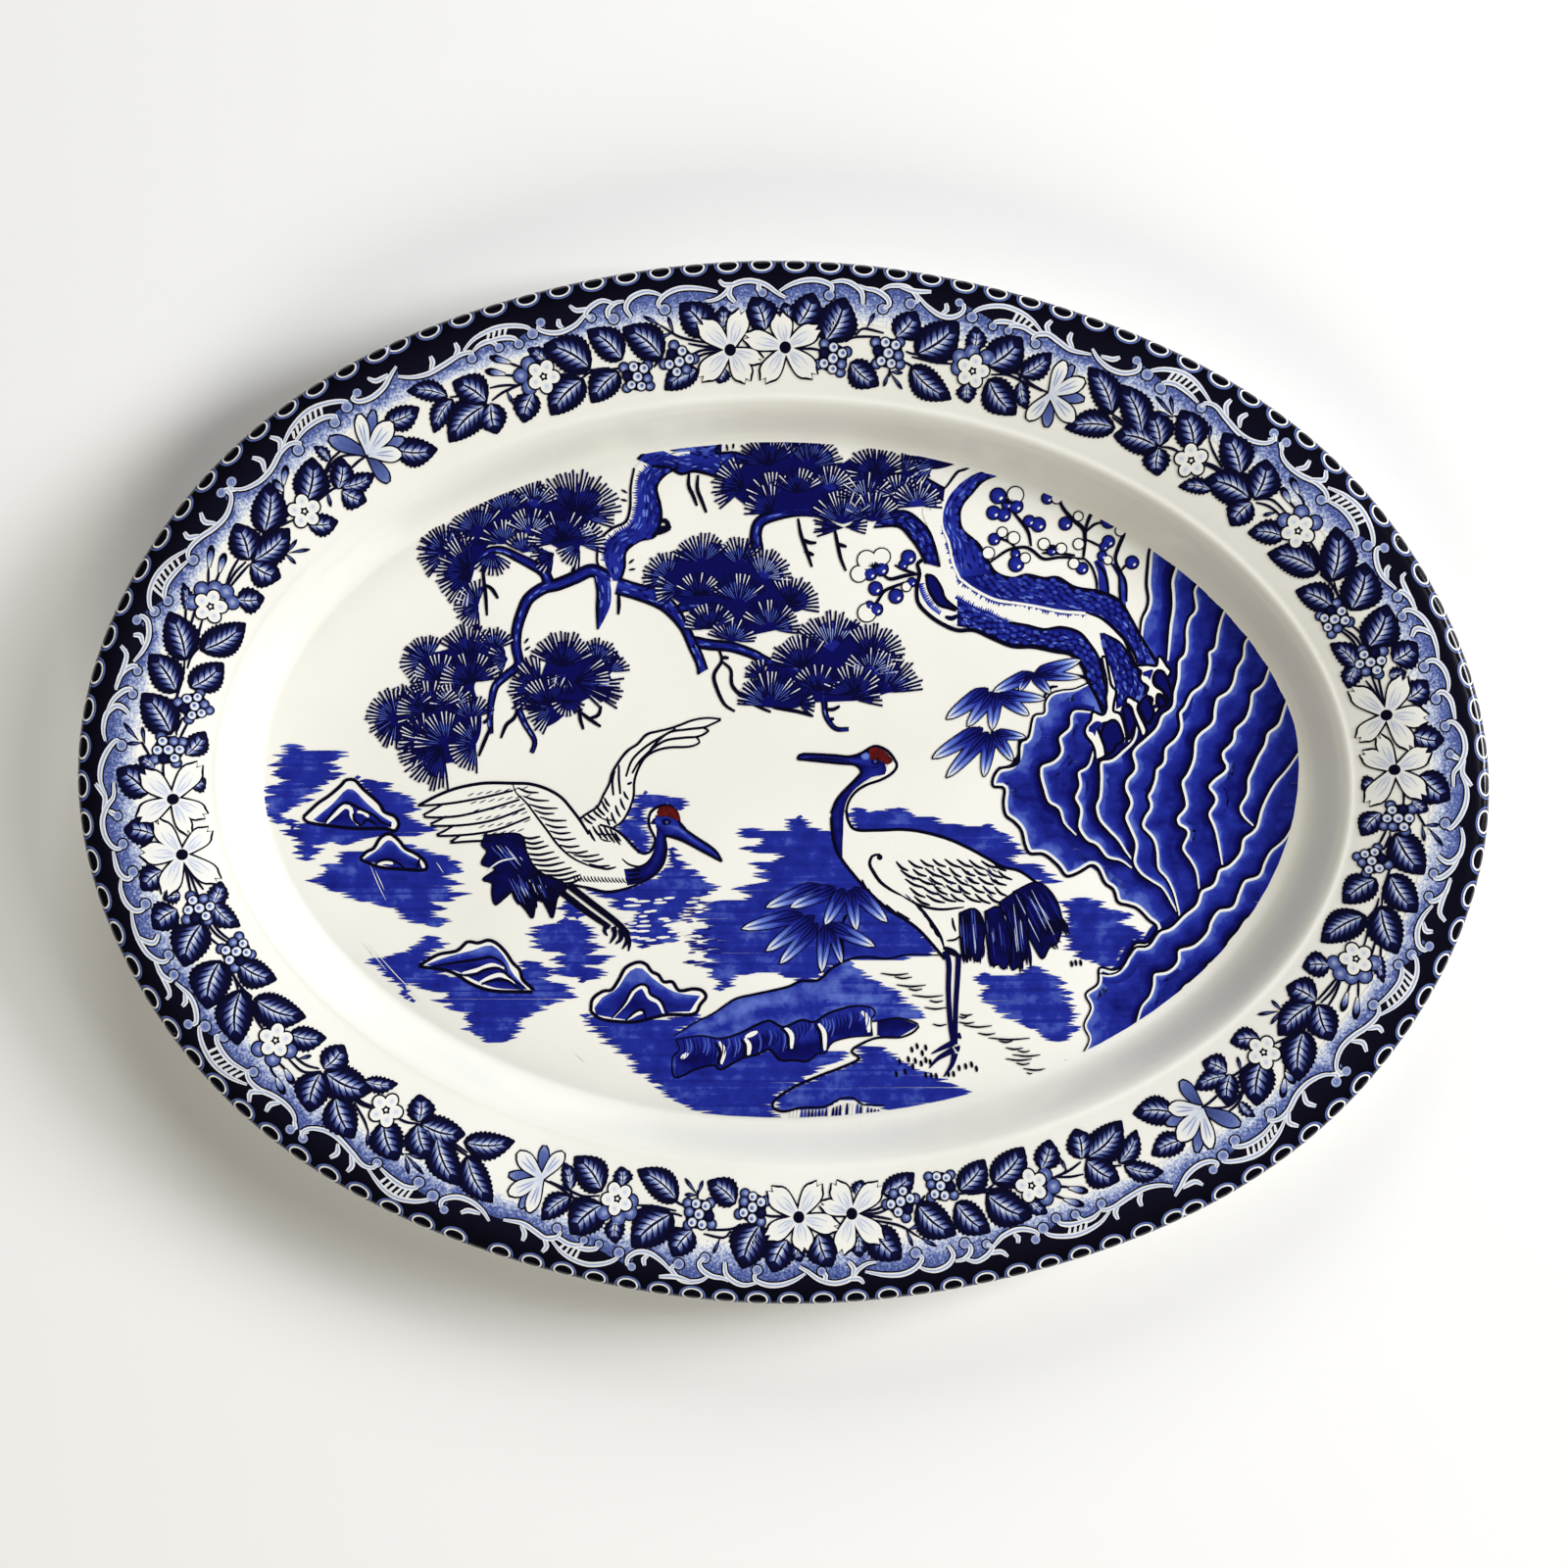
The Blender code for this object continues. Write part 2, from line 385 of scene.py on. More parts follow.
# %% [markdown]
# ## Drawing with flat shapes
# The engraver's line swells and tapers, and no two are quite alike. A curve with a bevel would give a
# round wire, so each shape is a flat web of corners: rows across a leaf, a petal or a line. The rows
# lie close together, because the web has to follow the curve of the rim.

# %% A level of ink: flat webs whose corners carry a tone
# Each shape lies a film above the one before it, and each row of a shape a hair above its last row.
# So neighbours share no plane, and a strip that folds over never touches itself.
FILM = 0.0012
FILMS = 15
HAIR = 0.00018
HAIRS = 6
WELD = 0.001


def corner_turns(spots):
    """How far a closed outline turns left at each corner."""
    sides = [end.xy - start.xy for start, end in zip(spots, spots[1:] + spots[:1])]
    return [one.cross(two) for one, two in zip(sides, sides[1:] + sides[:1])]


def is_crossed(spots):
    """True for a four-sided face that two of its sides cross."""
    return len(spots) == 4 and sum(turn > 0 for turn in corner_turns(spots)) == 2


class Ink:
    """One level of printed shapes, drawn flat in millimetres."""

    def __init__(self):
        self.mesh = bmesh.new()
        self.tone = self.mesh.verts.layers.float.new("tone")
        self.laid = 0

    def next_film(self):
        """How far the next shape rises above the level."""
        self.laid += 1
        return FILM * (self.laid % FILMS)

    def web(self, rows, closed=False, rise=None):
        """A grid laid over rows of (x, y, tone). A closed one is welded where its corners meet."""
        across, along = len(rows[0]) - 1, len(rows) - 1
        rise = self.next_film() if rise is None else rise
        grid = bmesh.ops.create_grid(self.mesh, x_segments=across, y_segments=along, size=1)["verts"]
        for n, (corner, (x, y, tone)) in enumerate(zip(grid, (place for row in rows for place in row))):
            corner.co = (x, y, rise + HAIR * (n // (across + 1) % HAIRS))
            corner[self.tone] = tone
        if closed:
            bmesh.ops.remove_doubles(self.mesh, verts=grid, dist=WELD)

    def face_all(self, up):
        """Drops faces that cross themselves and turns the rest to the same side of the drawing."""
        crossed = [face for face in self.mesh.faces if is_crossed([v.co for v in face.verts])]
        bmesh.ops.delete(self.mesh, geom=crossed, context="FACES_ONLY")
        self.mesh.normal_update()
        wrong = [face for face in self.mesh.faces if (face.normal.z > 0) != up]
        bmesh.ops.reverse_faces(self.mesh, faces=wrong)


print("films before they start again:", FILMS)

# %% Smooth paths and swelling lines
def smooth_path(points, step=1.0):
    """Points along a smooth curve through these points, about one step apart."""
    points = [Vector(p) for p in points]
    guide = [2 * points[0] - points[1]] + points + [2 * points[-1] - points[-2]]
    path = []
    for before, start, end, after in zip(guide, guide[1:], guide[2:], guide[3:]):
        count = max(2, math.ceil((end - start).length / step))
        for u in evenly(0, 1, count):
            turn = 0.5 * (end - before) * (u - 2 * u * u + u**3)
            turn += 0.5 * (after - start) * (u**3 - u * u)
            path.append(start * (2 * u**3 - 3 * u * u + 1) + end * (3 * u * u - 2 * u**3) + turn)
    return path + [points[-1]]


def heading(angle):
    """The unit vector at this angle."""
    return Vector((math.cos(angle), math.sin(angle)))


def square_to(run):
    """The unit vector square to this run, on its left hand."""
    return Vector((-run.y, run.x)).normalized()


def side_of(path, k):
    """The unit vector square to the path at its corner k."""
    return square_to(path[min(k + 1, len(path) - 1)] - path[max(k - 1, 0)])


def swell(start, middle, end, u):
    """A width that passes through three values."""
    return start * (1 - u) ** 2 + end * u * u + (4 * middle - start - end) * u * (1 - u)


def turned(vector, angle):
    """The vector, turned by this angle."""
    across, along = math.cos(angle), math.sin(angle)
    return Vector((vector.x * across - vector.y * along, vector.x * along + vector.y * across))


def round_angles(sides):
    """Angles once round, the first again at the end."""
    return [2 * math.pi * k / sides for k in range(sides + 1)]


def line(ink, points, widths, tone=0.0, step=1.0, tones=None, grow=0.0):
    """A line that swells: widths at its start, middle and end. tones run across it."""
    path = smooth_path(points, step)
    tones = tones or (tone, tone)
    rows = []
    for k, place in enumerate(path):
        half = swell(*widths, k / (len(path) - 1)) / 2 + grow
        side = side_of(path, k) * max(half, 0.02)
        spots = evenly(-1, 1, len(tones) - 1) + [1]
        rows.append([(*(place + side * v), t) for v, t in zip(spots, tones)])
    ink.web(rows)


def disc(ink, centre, radius, tones, squash=1.0, turn=0.0, sides=14, shine=(0, 0)):
    """A round spot: tones at its hub and at even rings out to its edge."""
    rows = []
    for k, tone in enumerate(tones):
        out = k / (len(tones) - 1)
        hub = Vector(centre) + Vector(shine) * (1 - out)
        spokes = [Vector((math.cos(a), math.sin(a) * squash)) for a in round_angles(sides)]
        rows.append([(*(hub + turned(spoke, turn) * radius * out), tone) for spoke in spokes])
    ink.web(rows, closed=True)


def hoop(ink, centre, outer, inner, tone, sides=40):
    """A ring between two ovals, each given by its half widths."""
    rows = []
    for wide, high in (outer, inner):
        spots = ((math.cos(a) * wide, math.sin(a) * high) for a in round_angles(sides))
        rows.append([(centre[0] + x, centre[1] + y, tone) for x, y in spots])
    ink.web(rows, closed=True)


print("lines, discs and hoops ready")

# %% [markdown]
# ## Leaves, petals, berries
# Every leaf in the garland is the same plan: a saw-toothed blade that is almost black at its edge, and
# wedges of pale ink between its side veins. The veins are the dark that is left between the wedges.

# %% A toothed leaf
def leaf(dark, light, tip, base, width, bend=0.08):
    """A leaf from base to tip: its blade on the dark level, its lights on the light one."""
    tip, base = Vector(tip), Vector(base)
    reach = tip - base
    side = square_to(reach)
    length = reach.length
    teeth = max(5, round(length / 1.35))

    def spot(u, v):
        wide = math.sin(math.pi * min(1, u) ** 0.82) ** 0.78 * width / 2
        return base + reach * u + side * (wide * v + bend * length * math.sin(math.pi * u))

    rows = []
    for k in range(teeth * 2 + 1):
        u = k / (teeth * 2)
        jut = (1.0 + 0.9 / width) if k % 2 else 1.0 - 0.35 / width
        blade = [(-jut, 0.0), (-0.55, 0.10), (0, 0.22), (0.55, 0.10), (jut, 0.0)]
        rows.append([(*spot(min(u + (0.02 if abs(v) > 1 else 0), 1), v), t * math.sin(math.pi * u))
            for v, t in blade])
    dark.web(rows)
    pairs = max(3, round(length / 3.0))
    for k in range(pairs):
        u = 0.14 + 0.66 * k / pairs
        bright = 0.92 - 0.4 * abs(k - pairs / 2 + 0.5) / pairs
        for way in (-1, 1):
            wedge = []
            for step in range(4):
                v = 0.07 + 0.21 * step
                lead = u + 0.16 * step / 3 * (1.15 if way > 0 else 1)
                half = (0.30 / pairs) * (1 - step / 4.2)
                tone = bright * (1 - step / 3) ** 0.9 + 0.08
                wedge.append([(*spot(lead - half, v * way), tone), (*spot(lead + half, v * way), tone)])
            light.web(wedge)


def petal(ink, centre, tip, width, tones, grow=0.0, notch=0.09, heel=0.24):
    """A petal from the flower's centre to its tip, with tones from heel to tip."""
    centre, tip = Vector(centre), Vector(tip)
    reach = tip - centre
    length = reach.length
    along = reach / length
    side = Vector((-along.y, along.x))
    narrow = 0.52 if notch > 0 else 0.82
    rows = []
    for k in range(9):
        u = k / 8
        bulge = heel + (1 - heel) * math.sin(math.pi * u * 0.5) ** 1.3
        wide = bulge * (1 - u**5 * narrow) * width / 2 + grow
        row = []
        for v in (-1, -0.5, 0, 0.5, 1):
            cut = {0: -notch, 0.5: notch * 0.5, 1: -notch}[abs(v)] * u**4
            place = centre + along * (length * (u + cut) + grow * (2 * u - 1)) + side * wide * v
            tone = tones[0] * (1 - u) + tones[1] * u
            row.append((*place, tone - (0.05 * (1 - u) if v == 0 else 0)))
        rows.append(row)
    ink.web(rows)


print("leaves and petals ready")

# %% Berries, blossoms and buds
OUTLINE = 0.45
DAISY_SPREAD = 1.2
BERRY_TONES = {"bright": (0.5, 0.66, 1.0, 0.8), "shaded": (0.78, 0.66, 0.42), "dark": (0.3, 0.16, 0.03)}
BEHIND, AROUND, IN_FRONT = ("foliage", "leaf_lights"), ("flower_lines", "flowers"), ("details", "eyes")


def berry(inks, levels, centre, radius, kind):
    """A round berry in a dark ring. A bright one has its shade off the middle."""
    shine = (0.28 * radius, -0.22 * radius) if kind == "bright" else (-0.25 * radius, 0.2 * radius)
    disc(inks[levels[0]], centre, radius + OUTLINE, (0, 0))
    disc(inks[levels[1]], centre, radius, BERRY_TONES[kind], shine=shine)


def berries(inks, centre, turn=0.0):
    """A cluster: one berry in the middle, six round it and four tucked behind."""
    centre = Vector(centre)
    behind = xy("4.7,0.5 4.6,2.2 4.8,3.6 4.5,5.3")
    ring = ("shaded", "bright", "bright", "dark", "bright", "bright")
    disc(inks["foliage"], centre, 4.3, (0, 0))
    for reach, angle in behind:
        place = centre + heading(angle + turn) * reach
        berry(inks, BEHIND, place, 1.3, "shaded")
    for k, kind in enumerate(ring):
        angle = turn + math.pi * k / 3
        berry(inks, AROUND, centre + heading(angle) * 3.1, 1.28, kind)
    berry(inks, IN_FRONT, centre, 1.4, "bright")


def blossom(inks, centre, turn, reach=2.9, radius=2.05, behind=()):
    """Five round petals about a ringed eye, with blue ones behind where it is a cluster."""
    centre = Vector(centre)
    for place in behind:
        disc(inks["foliage"], place, 2.0 + OUTLINE, (0, 0))
        disc(inks["leaf_lights"], place, 2.0, (0.78, 0.64, 0.5))
    for k in range(5):
        angle = turn + 2 * math.pi * k / 5
        place = centre + heading(angle) * reach
        disc(inks["flower_lines"], place, radius + OUTLINE, (0, 0), squash=0.92, turn=angle)
        disc(inks["flowers"], place, radius - 0.1, (0.84, 0.97, 1.0), squash=0.92, turn=angle)
    disc(inks["details"], centre, 0.85, (0, 0), sides=10)
    disc(inks["eyes"], centre, 0.45, (1, 1), sides=8)


def daisy(inks, centre, petals, eye=1.75):
    """A large open flower: white petals with grey shade along them, and a dark eye."""
    centre = Vector(centre)
    for tip, width in petals:
        width *= DAISY_SPREAD
        petal(inks["flower_lines"], centre, tip, width, (0, 0), grow=OUTLINE * 1.2)
        petal(inks["flowers"], centre, tip, width, (0.96, 1.0))
        run = Vector(tip) - centre
        side = square_to(run) * width
        for shift, reach in xy("-0.12,0.74 0.12,0.66 0.02,0.5"):
            start, end = centre + run * 0.2 + side * shift * 0.5, centre + run * reach + side * shift
            middle = (start + end) / 2 + side * shift * 0.5
            line(inks["details"], (start, middle, end), (0.2, 0.5, 0.1), tones=(0.92, 0.8, 0.92))
    disc(inks["details"], centre, eye, (0, 0))


def lily(inks, centre, white, blue):
    """A flower that opens sideways, with pointed white petals and blue ones behind."""
    for tip, width in blue:
        petal(inks["foliage"], centre, tip, width, (0, 0), grow=OUTLINE, notch=0)
        petal(inks["leaf_lights"], centre, tip, width, (0.4, 0.68), notch=0)
    for tip, width in white:
        run = Vector(tip) - Vector(centre)
        petal(inks["flower_lines"], centre, tip, width, (0, 0), grow=OUTLINE, notch=0)
        petal(inks["flowers"], centre, tip, width, (0.9, 1.0), notch=0)
        for shift in (-0.14, 0.1):
            side = square_to(run) * width * shift
            places = [Vector(centre) + run * u + side * (1.5 * u) for u in (0.25, 0.5, 0.78)]
            line(inks["details"], places, (0.15, 0.5, 0.1), tones=(0.8, 0.7, 0.84))


def bud(inks, tip, base):
    """A bud: dark towards its tip, white where it opens."""
    petal(inks["foliage"], base, tip, 2.6, (0, 0), grow=0.15, notch=0, heel=0.3)
    petal(inks["leaf_lights"], base, Vector(base).lerp(Vector(tip), 0.75), 1.9, (1.0, 0.5), notch=0)


def sprig(inks, tip, base, width=1.7):
    """One small dark leaf of a sprig, with a thread of light down it."""
    petal(inks["foliage"], base, tip, width, (0.05, 0.1), notch=0, heel=0.15)
    inner = [Vector(base).lerp(Vector(tip), u) for u in (0.25, 0.5, 0.7)]
    line(inks["leaf_lights"], inner, (0.1, 0.4, 0.1), tones=(0.5, 0.6, 0.4))


print("berries, blossoms and buds ready")

# %% [markdown]
# ## Scrolls and the beaded edge
# A white scroll runs all round the rim between the dark edge and the paler ground. Its ends curl into
# round bulbs, and in places a second line arches over it and the space between is filled with bars.

# %% Scroll lines, their bulbs and the barred cartouches
SCROLL_TONES = (1.0, 0.95, 0.70, 0.93, 1.0)
OVAL_PITCH = 9.15


def scroll(inks, points, widths=(0.7, 1.5, 0.9), bulb=0.0):
    """A white line with a dark edge and a blue core, which may end in a bulb."""
    line(inks["scroll_lines"], points, widths, grow=OUTLINE)
    line(inks["scrolls"], points, widths, tones=SCROLL_TONES)
    if bulb:
        disc(inks["scroll_lines"], points[-1], bulb + OUTLINE, (0, 0))
        disc(inks["scrolls"], points[-1], bulb, (0.64, 0.66, 0.8))


def bars(inks, arch, floor, pitch=1.6):
    """Slanting bars between the arch of a cartouche and the line under it."""
    top, bottom = smooth_path(arch, 0.5), smooth_path(floor, 0.5)
    place = max(top[0].x, bottom[0].x) + 1.2
    end = min(top[-1].x, bottom[-1].x) - 0.8
    while place < end:
        high = min(top, key=lambda p: abs(p.x - place)).y + 0.75
        low = min(bottom, key=lambda p: abs(p.x - place + 0.9)).y - 0.65
        if low - high > 0.5:
            line(inks["scrolls"], ((place, high), (place - 0.9, low)), (0.85, 0.75, 0.5),
                tones=(0.98, 0.9))
        place += pitch


def edge_ovals(ink, start, end):
    """The chain of ringed ovals that hangs over the rolled edge."""
    first = math.ceil(start / OVAL_PITCH)
    for k in range(first, math.floor(end / OVAL_PITCH) + 1):
        place = OVAL_PITCH * k
        hoop(ink, (place, 0.7), (3.75, 2.95), (3.3, 2.5), 0.62)
        hoop(ink, (place, 1.05), (2.95, 2.0), (2.45, 1.55), 0.97)


print("scroll tools ready")

# %% [markdown]
# ## The garland, in running order
# Distances run along the rim in millimetres, clockwise from the middle of the far side, and depths run
# in from the edge. A border like this is engraved twice, once for a long side and once for an end, and
# each engraving is printed on two tissues that lie opposite each other.

# %% What the two engravings hold: tip, base and width of each leaf
SIDE_LEAVES = table("""-113.2,14.3 -103,20.5 5.5 / -111.5,28.2 -102,21.5 5.5 / -100.2,17 -93,26 9 /
    -108.6,32.5 -93,26.5 9.5 / -93.8,36 -92,26.5 8.5 / -76.8,15 -72.7,21 4.5 / -84.8,35.5 -79,27.5 7.5 /
    -72.2,15.2 -60.5,25.2 10 / -76,35.7 -63.2,27.5 10 / -59.2,14 -50.8,24.5 8.5 /
    -62.8,35.2 -52.5,27.5 8.5 / -49.2,15.3 -39,26 9.5 / -32.2,10.8 -25,21 9.5 / -20.3,12.5 -21,19 5 /
    -12,10.3 -8.3,20 8.5 / -3,12 -2,17.5 4.5 / 5.2,9 1,18.5 8.5 / 14,9.7 9,23 11 /
    -39.8,35.3 -28.8,30 7.5 / -23,35 -20.5,30.5 5 / 26.6,34.2 17,28 8 / 34.4,11.2 29.5,19.5 8 /
    46.6,12 36,23.5 11 / 49.3,34.5 35,27 8.5 / 51.3,12 52.3,19.5 5.5 / 54.5,34.5 53,28.5 5.5 /
    64.8,11.8 57.5,22.5 10.5 / 69.8,34 58.5,25.8 9.5 / 74,13.5 67.5,22.5 6.5 / 72.5,31.3 68,24 4.5""")
END_LEAVES = table("""85,13.8 97,23.8 8 / 95.3,15 107.5,25.5 8.5 / 85.2,32.8 99.5,26.8 7.5 /
    99.7,29 113.5,26.3 8.5 / 106.2,18.5 114,26 8.5 / 117.8,33.8 113.8,26.3 7.5 / 113.8,14 123,22 9 /
    127.3,13.5 138.5,20.5 9 / 125,33.2 134,28.5 4.5 / 141.5,12.5 146,23.5 9.5 /
    130.3,27.5 145.5,24 9.5 / 145.7,33.6 146,24.5 8 / 151.2,31.8 160.5,25.5 6.5 /
    160.2,32.3 175.5,25 9 / 168.3,13 180,24 10 / 181.2,12.8 190.5,24 11 / 194.3,14 203,25 10.5 /
    207.5,11.3 209.5,20 8 / 175.2,33.6 187,27.5 8 / 196,34 208,29.5 6.5 / 212.5,35 206.5,29.5 6 /
    218,12.5 221.5,20 7 / 214,17.3 213,22.5 4.5 / 235,11.8 232,20.5 7.5 / 251.2,11.3 244,20 9 /
    254.5,17.3 251.5,22 4.5 / 248.2,37 246,32 6 / 272.5,15.5 262,26 10 / 264.8,35.7 256,30.5 7 /
    283.2,14 275,25 9 / 296,14.2 285,24.5 9.5 / 289,35 277.5,28 9 / 304.2,35.3 289.5,27 9.5 /
    304.8,13.5 298.5,18.5 3 / 314.6,35.7 309,29 7.5 / 326.5,15.5 320.8,25.3 9 / 323,35.8 320.3,26 9 /
    336.3,27.5 321,26 8.5 / 341.2,14.3 329.5,23.5 9.5 / 349,35.5 341,30 6.5 / 354.8,16.5 345,25.3 9.5 /
    356.8,14.3 358,20.3 3 / 361.5,21.3 355,28 6.5 / 367,30.2 356,28 5.5 / 360,35.8 355.5,28.8 7 /
    388,20 377,19.5 6.5 / 387.3,33 375.5,27 8""")
print("leaves engraved:", len(SIDE_LEAVES), "and", len(END_LEAVES))

# %% Flowers, berries, buds and stems
SIDE_DAISIES = (
    ((-18.8, 25.2), (((-26.8, 17), 6.4), ((-15, 14.6), 6.2), ((-9.8, 28.3), 4.2), ((-14.2, 34.4), 6.2),
                     ((-28, 32.8), 6.6))),
    ((-2.5, 24.8), (((-14, 21.8), 5.6), ((-4.2, 15.6), 6.2), ((6.8, 19.2), 5.6), ((6.2, 32.6), 6.8),
                    ((-8.8, 34.4), 6.2))),
)
END_DAISIES = (
    ((224.5, 26.5), (((215.2, 18.8), 6.2), ((228, 15.8), 6.2), ((235.7, 21.6), 5.4), ((230.2, 36), 6.2),
                     ((213.3, 34), 6.4))),
    ((242, 26.8), (((237.4, 17), 6), ((250.2, 19), 6.4), ((230.8, 29.8), 4.2), ((235.6, 35.6), 5.8),
                   ((252.9, 34.6), 6.8))),
)
SIDE_BERRIES = table("-47.3,30 0.3 / -34.2,27.3 0.9 / 11.8,27.3 0.5 / 28,24.2 0.1")
END_BERRIES = table("190,29 0.2 / 207.2,25.8 0.8 / 257.3,25.6 0.4 / 272.3,30.8 1.1")
SIDE_BLOSSOMS = table("""-74.7,24 0.3 -77.8,19.5 -81,22 -79.6,25.8 /
    53.5,24.8 -0.25 52,19.5 48.8,21.6 49.2,24.8 56.5,20""")
END_BLOSSOMS = table("""124,24.9 1.57 / 162,21.6 -1.57 158.9,17.4 163.6,16.7 157,22.2 /
    302.9,23.8 -1.5 301.3,18.8 305.8,19.2 308.2,22.2 309.2,25.3 307.5,28.4 / 343,26.8 0.2""")
SIDE_LILIES = (
    ((77.6, 25), (((78.2, 14.8), 5), ((85.4, 18), 5.6), ((73.6, 34), 5.4), ((86.9, 29.8), 6)),
     (((80.9, 15.2), 3.6), ((87.2, 23), 3.6), ((79.8, 34.2), 4))),
)
END_LILIES = (
    ((368.3, 24.6), (((372.1, 14), 4.6), ((378.8, 20.2), 6.8), ((376.7, 29.2), 5.6)),
     (((361.6, 15.2), 5.2), ((376, 15), 3.6), ((379.5, 25.8), 4.2), ((368.9, 34.3), 4.8))),
)
SIDE_BUDS = table("-90.2,17.5 -85.3,20.2 / -87.7,14.2 -82.8,17.5")
END_BUDS = table("""150.1,12.2 154.5,14.2 / 149.9,16 154.3,17.6 / 317.5,14.4 312.3,17.4 /
    318,18.7 312.8,20.6 / 342.2,14.6 342.2,18.6 / 347.5,13.9 343.6,17.4""")
SIDE_SPRIGS = table("""-42.9,13.1 -38.2,16.6 / -36,14.1 -34.8,19.3 / -39.5,19.9 -35,19 /
    22.7,13.4 21,17.8 / 28,34.2 29,29.5 / 33.2,29.2 29,29.4 / 33.8,34.2 29.5,29.8 /
    -85.9,28.6 -86.4,24.8""")
END_SPRIGS = table("""105.7,13.9 113,16.8 / 109.4,12.1 112.6,16.2 / 107.6,17.9 113,17 /
    123.2,13.6 125.5,18 / 151.2,25.2 153.5,22.2 / 263.6,12 259.2,17 / 258,13.8 258.7,18.4 /
    263.2,17.5 258.5,18.8 / 335.4,31.2 330.2,32 / 336.2,36.2 330.7,32.4 / 329.6,36.3 329.8,31.4 /
    350,30.6 352.2,26.2""")
SIDE_STEMS = table("""-83,17.6 -80,19.8 / -85.6,20.3 -81.5,22 / -102.5,20.8 -98,22.5 -93,26 /
    -90.8,22.5 -87,23 -82.5,24.3 / -91.5,26 -87,24.8 -81,24.3 / -86.3,25 -84,24.3 /
    -70,24.6 -64,25.8 -55,27 / -64,27.3 -60,25.8 -55,26 / -61,25.3 -56,26.4 -50,26.8 / -40,26 -42,28 /
    -38.3,16.5 -33,20.5 -25,23 / -31,22.5 -27,23.6 -22,24.6 / -31,26 -27,24.8 -22,25 /
    -31,28 -27,26 -22,25.5 / 0,25.2 6,25 10,26 / 15,22.5 18,20.8 25,20 / 18,20.3 20,18.2 26,18.8 /
    33,23 36,23.4 47,22.8 / 35,24.3 42,24.6 48,24 / 33,26 36,27 / 59,22.4 63,21.6 67,22.3 72,24
    77.5,24.8 / 59,24.5 64,23.3 69,24 75,24.8 / 29,28.5 29.3,31 / 67,22.4 69.3,26""")
END_STEMS = table("""96,23.6 101,24.4 108,26 / 97,24.5 103,25.6 112,26.4 / 113,16.5 114.5,16.2 /
    113.8,26 117,24.8 121,24.6 / 125.3,17.5 128,19.5 133,22 / 127.5,23.3 131,22.6 135,22.8 /
    127.5,24 131,23.3 135,23.6 / 146,23.6 150,20.4 156,20.4 / 147,23.8 151,22.2 156.5,22 /
    153.8,14.2 157,14.8 159.5,16.8 / 154,17.6 157,17.8 / 165,21 171,22 176,24.5 / 165,22.3 170,24.5 /
    180,23 184,24.4 188,24.6 / 176,25 181,24.2 188,25 / 194,26 198,24.6 203,24.4 /
    193.5,28.5 198,26.6 203,26 / 193.5,29.4 198,27.8 202,27.3 / 210,25 217,26 223,26.5 /
    211,27 217,27 223,27 / 212,29 217,27.8 223,27.4 / 243,26 249,24.5 254,24.4 / 255.3,20.4 259,17.8 /
    262,27.4 270,25.4 280,25.2 286,23.8 / 261,28.3 267,30 / 263,27.2 268,28.2 /
    283,25.6 287,25.4 292,27 / 286,24.4 292,24.8 299,23.6 / 295,21.6 300,20.5 / 296,19.5 299,18 /
    308,20 312,17.4 / 309,21.6 313,20.6 / 310,24.4 315,23.2 320,22.6 / 310,24.9 315,24.3 320,24.8 /
    310,25.4 320,26 / 330.3,32 326,30.6 322,29 / 334,23.6 338,22.6 343.6,17.4 / 332,23.4 339,24 /
    333,24.6 339,26.6 / 346,26 352,24 358,20.4 364,19.6 / 348,26 355,22.5 361,21 367,24 /
    347,27 354,27 356,28.3 / 361,25.4 365,24.8 368,24.8 / 378,19.4 377.5,20.5""")
print("stems engraved:", len(SIDE_STEMS), "and", len(END_STEMS))

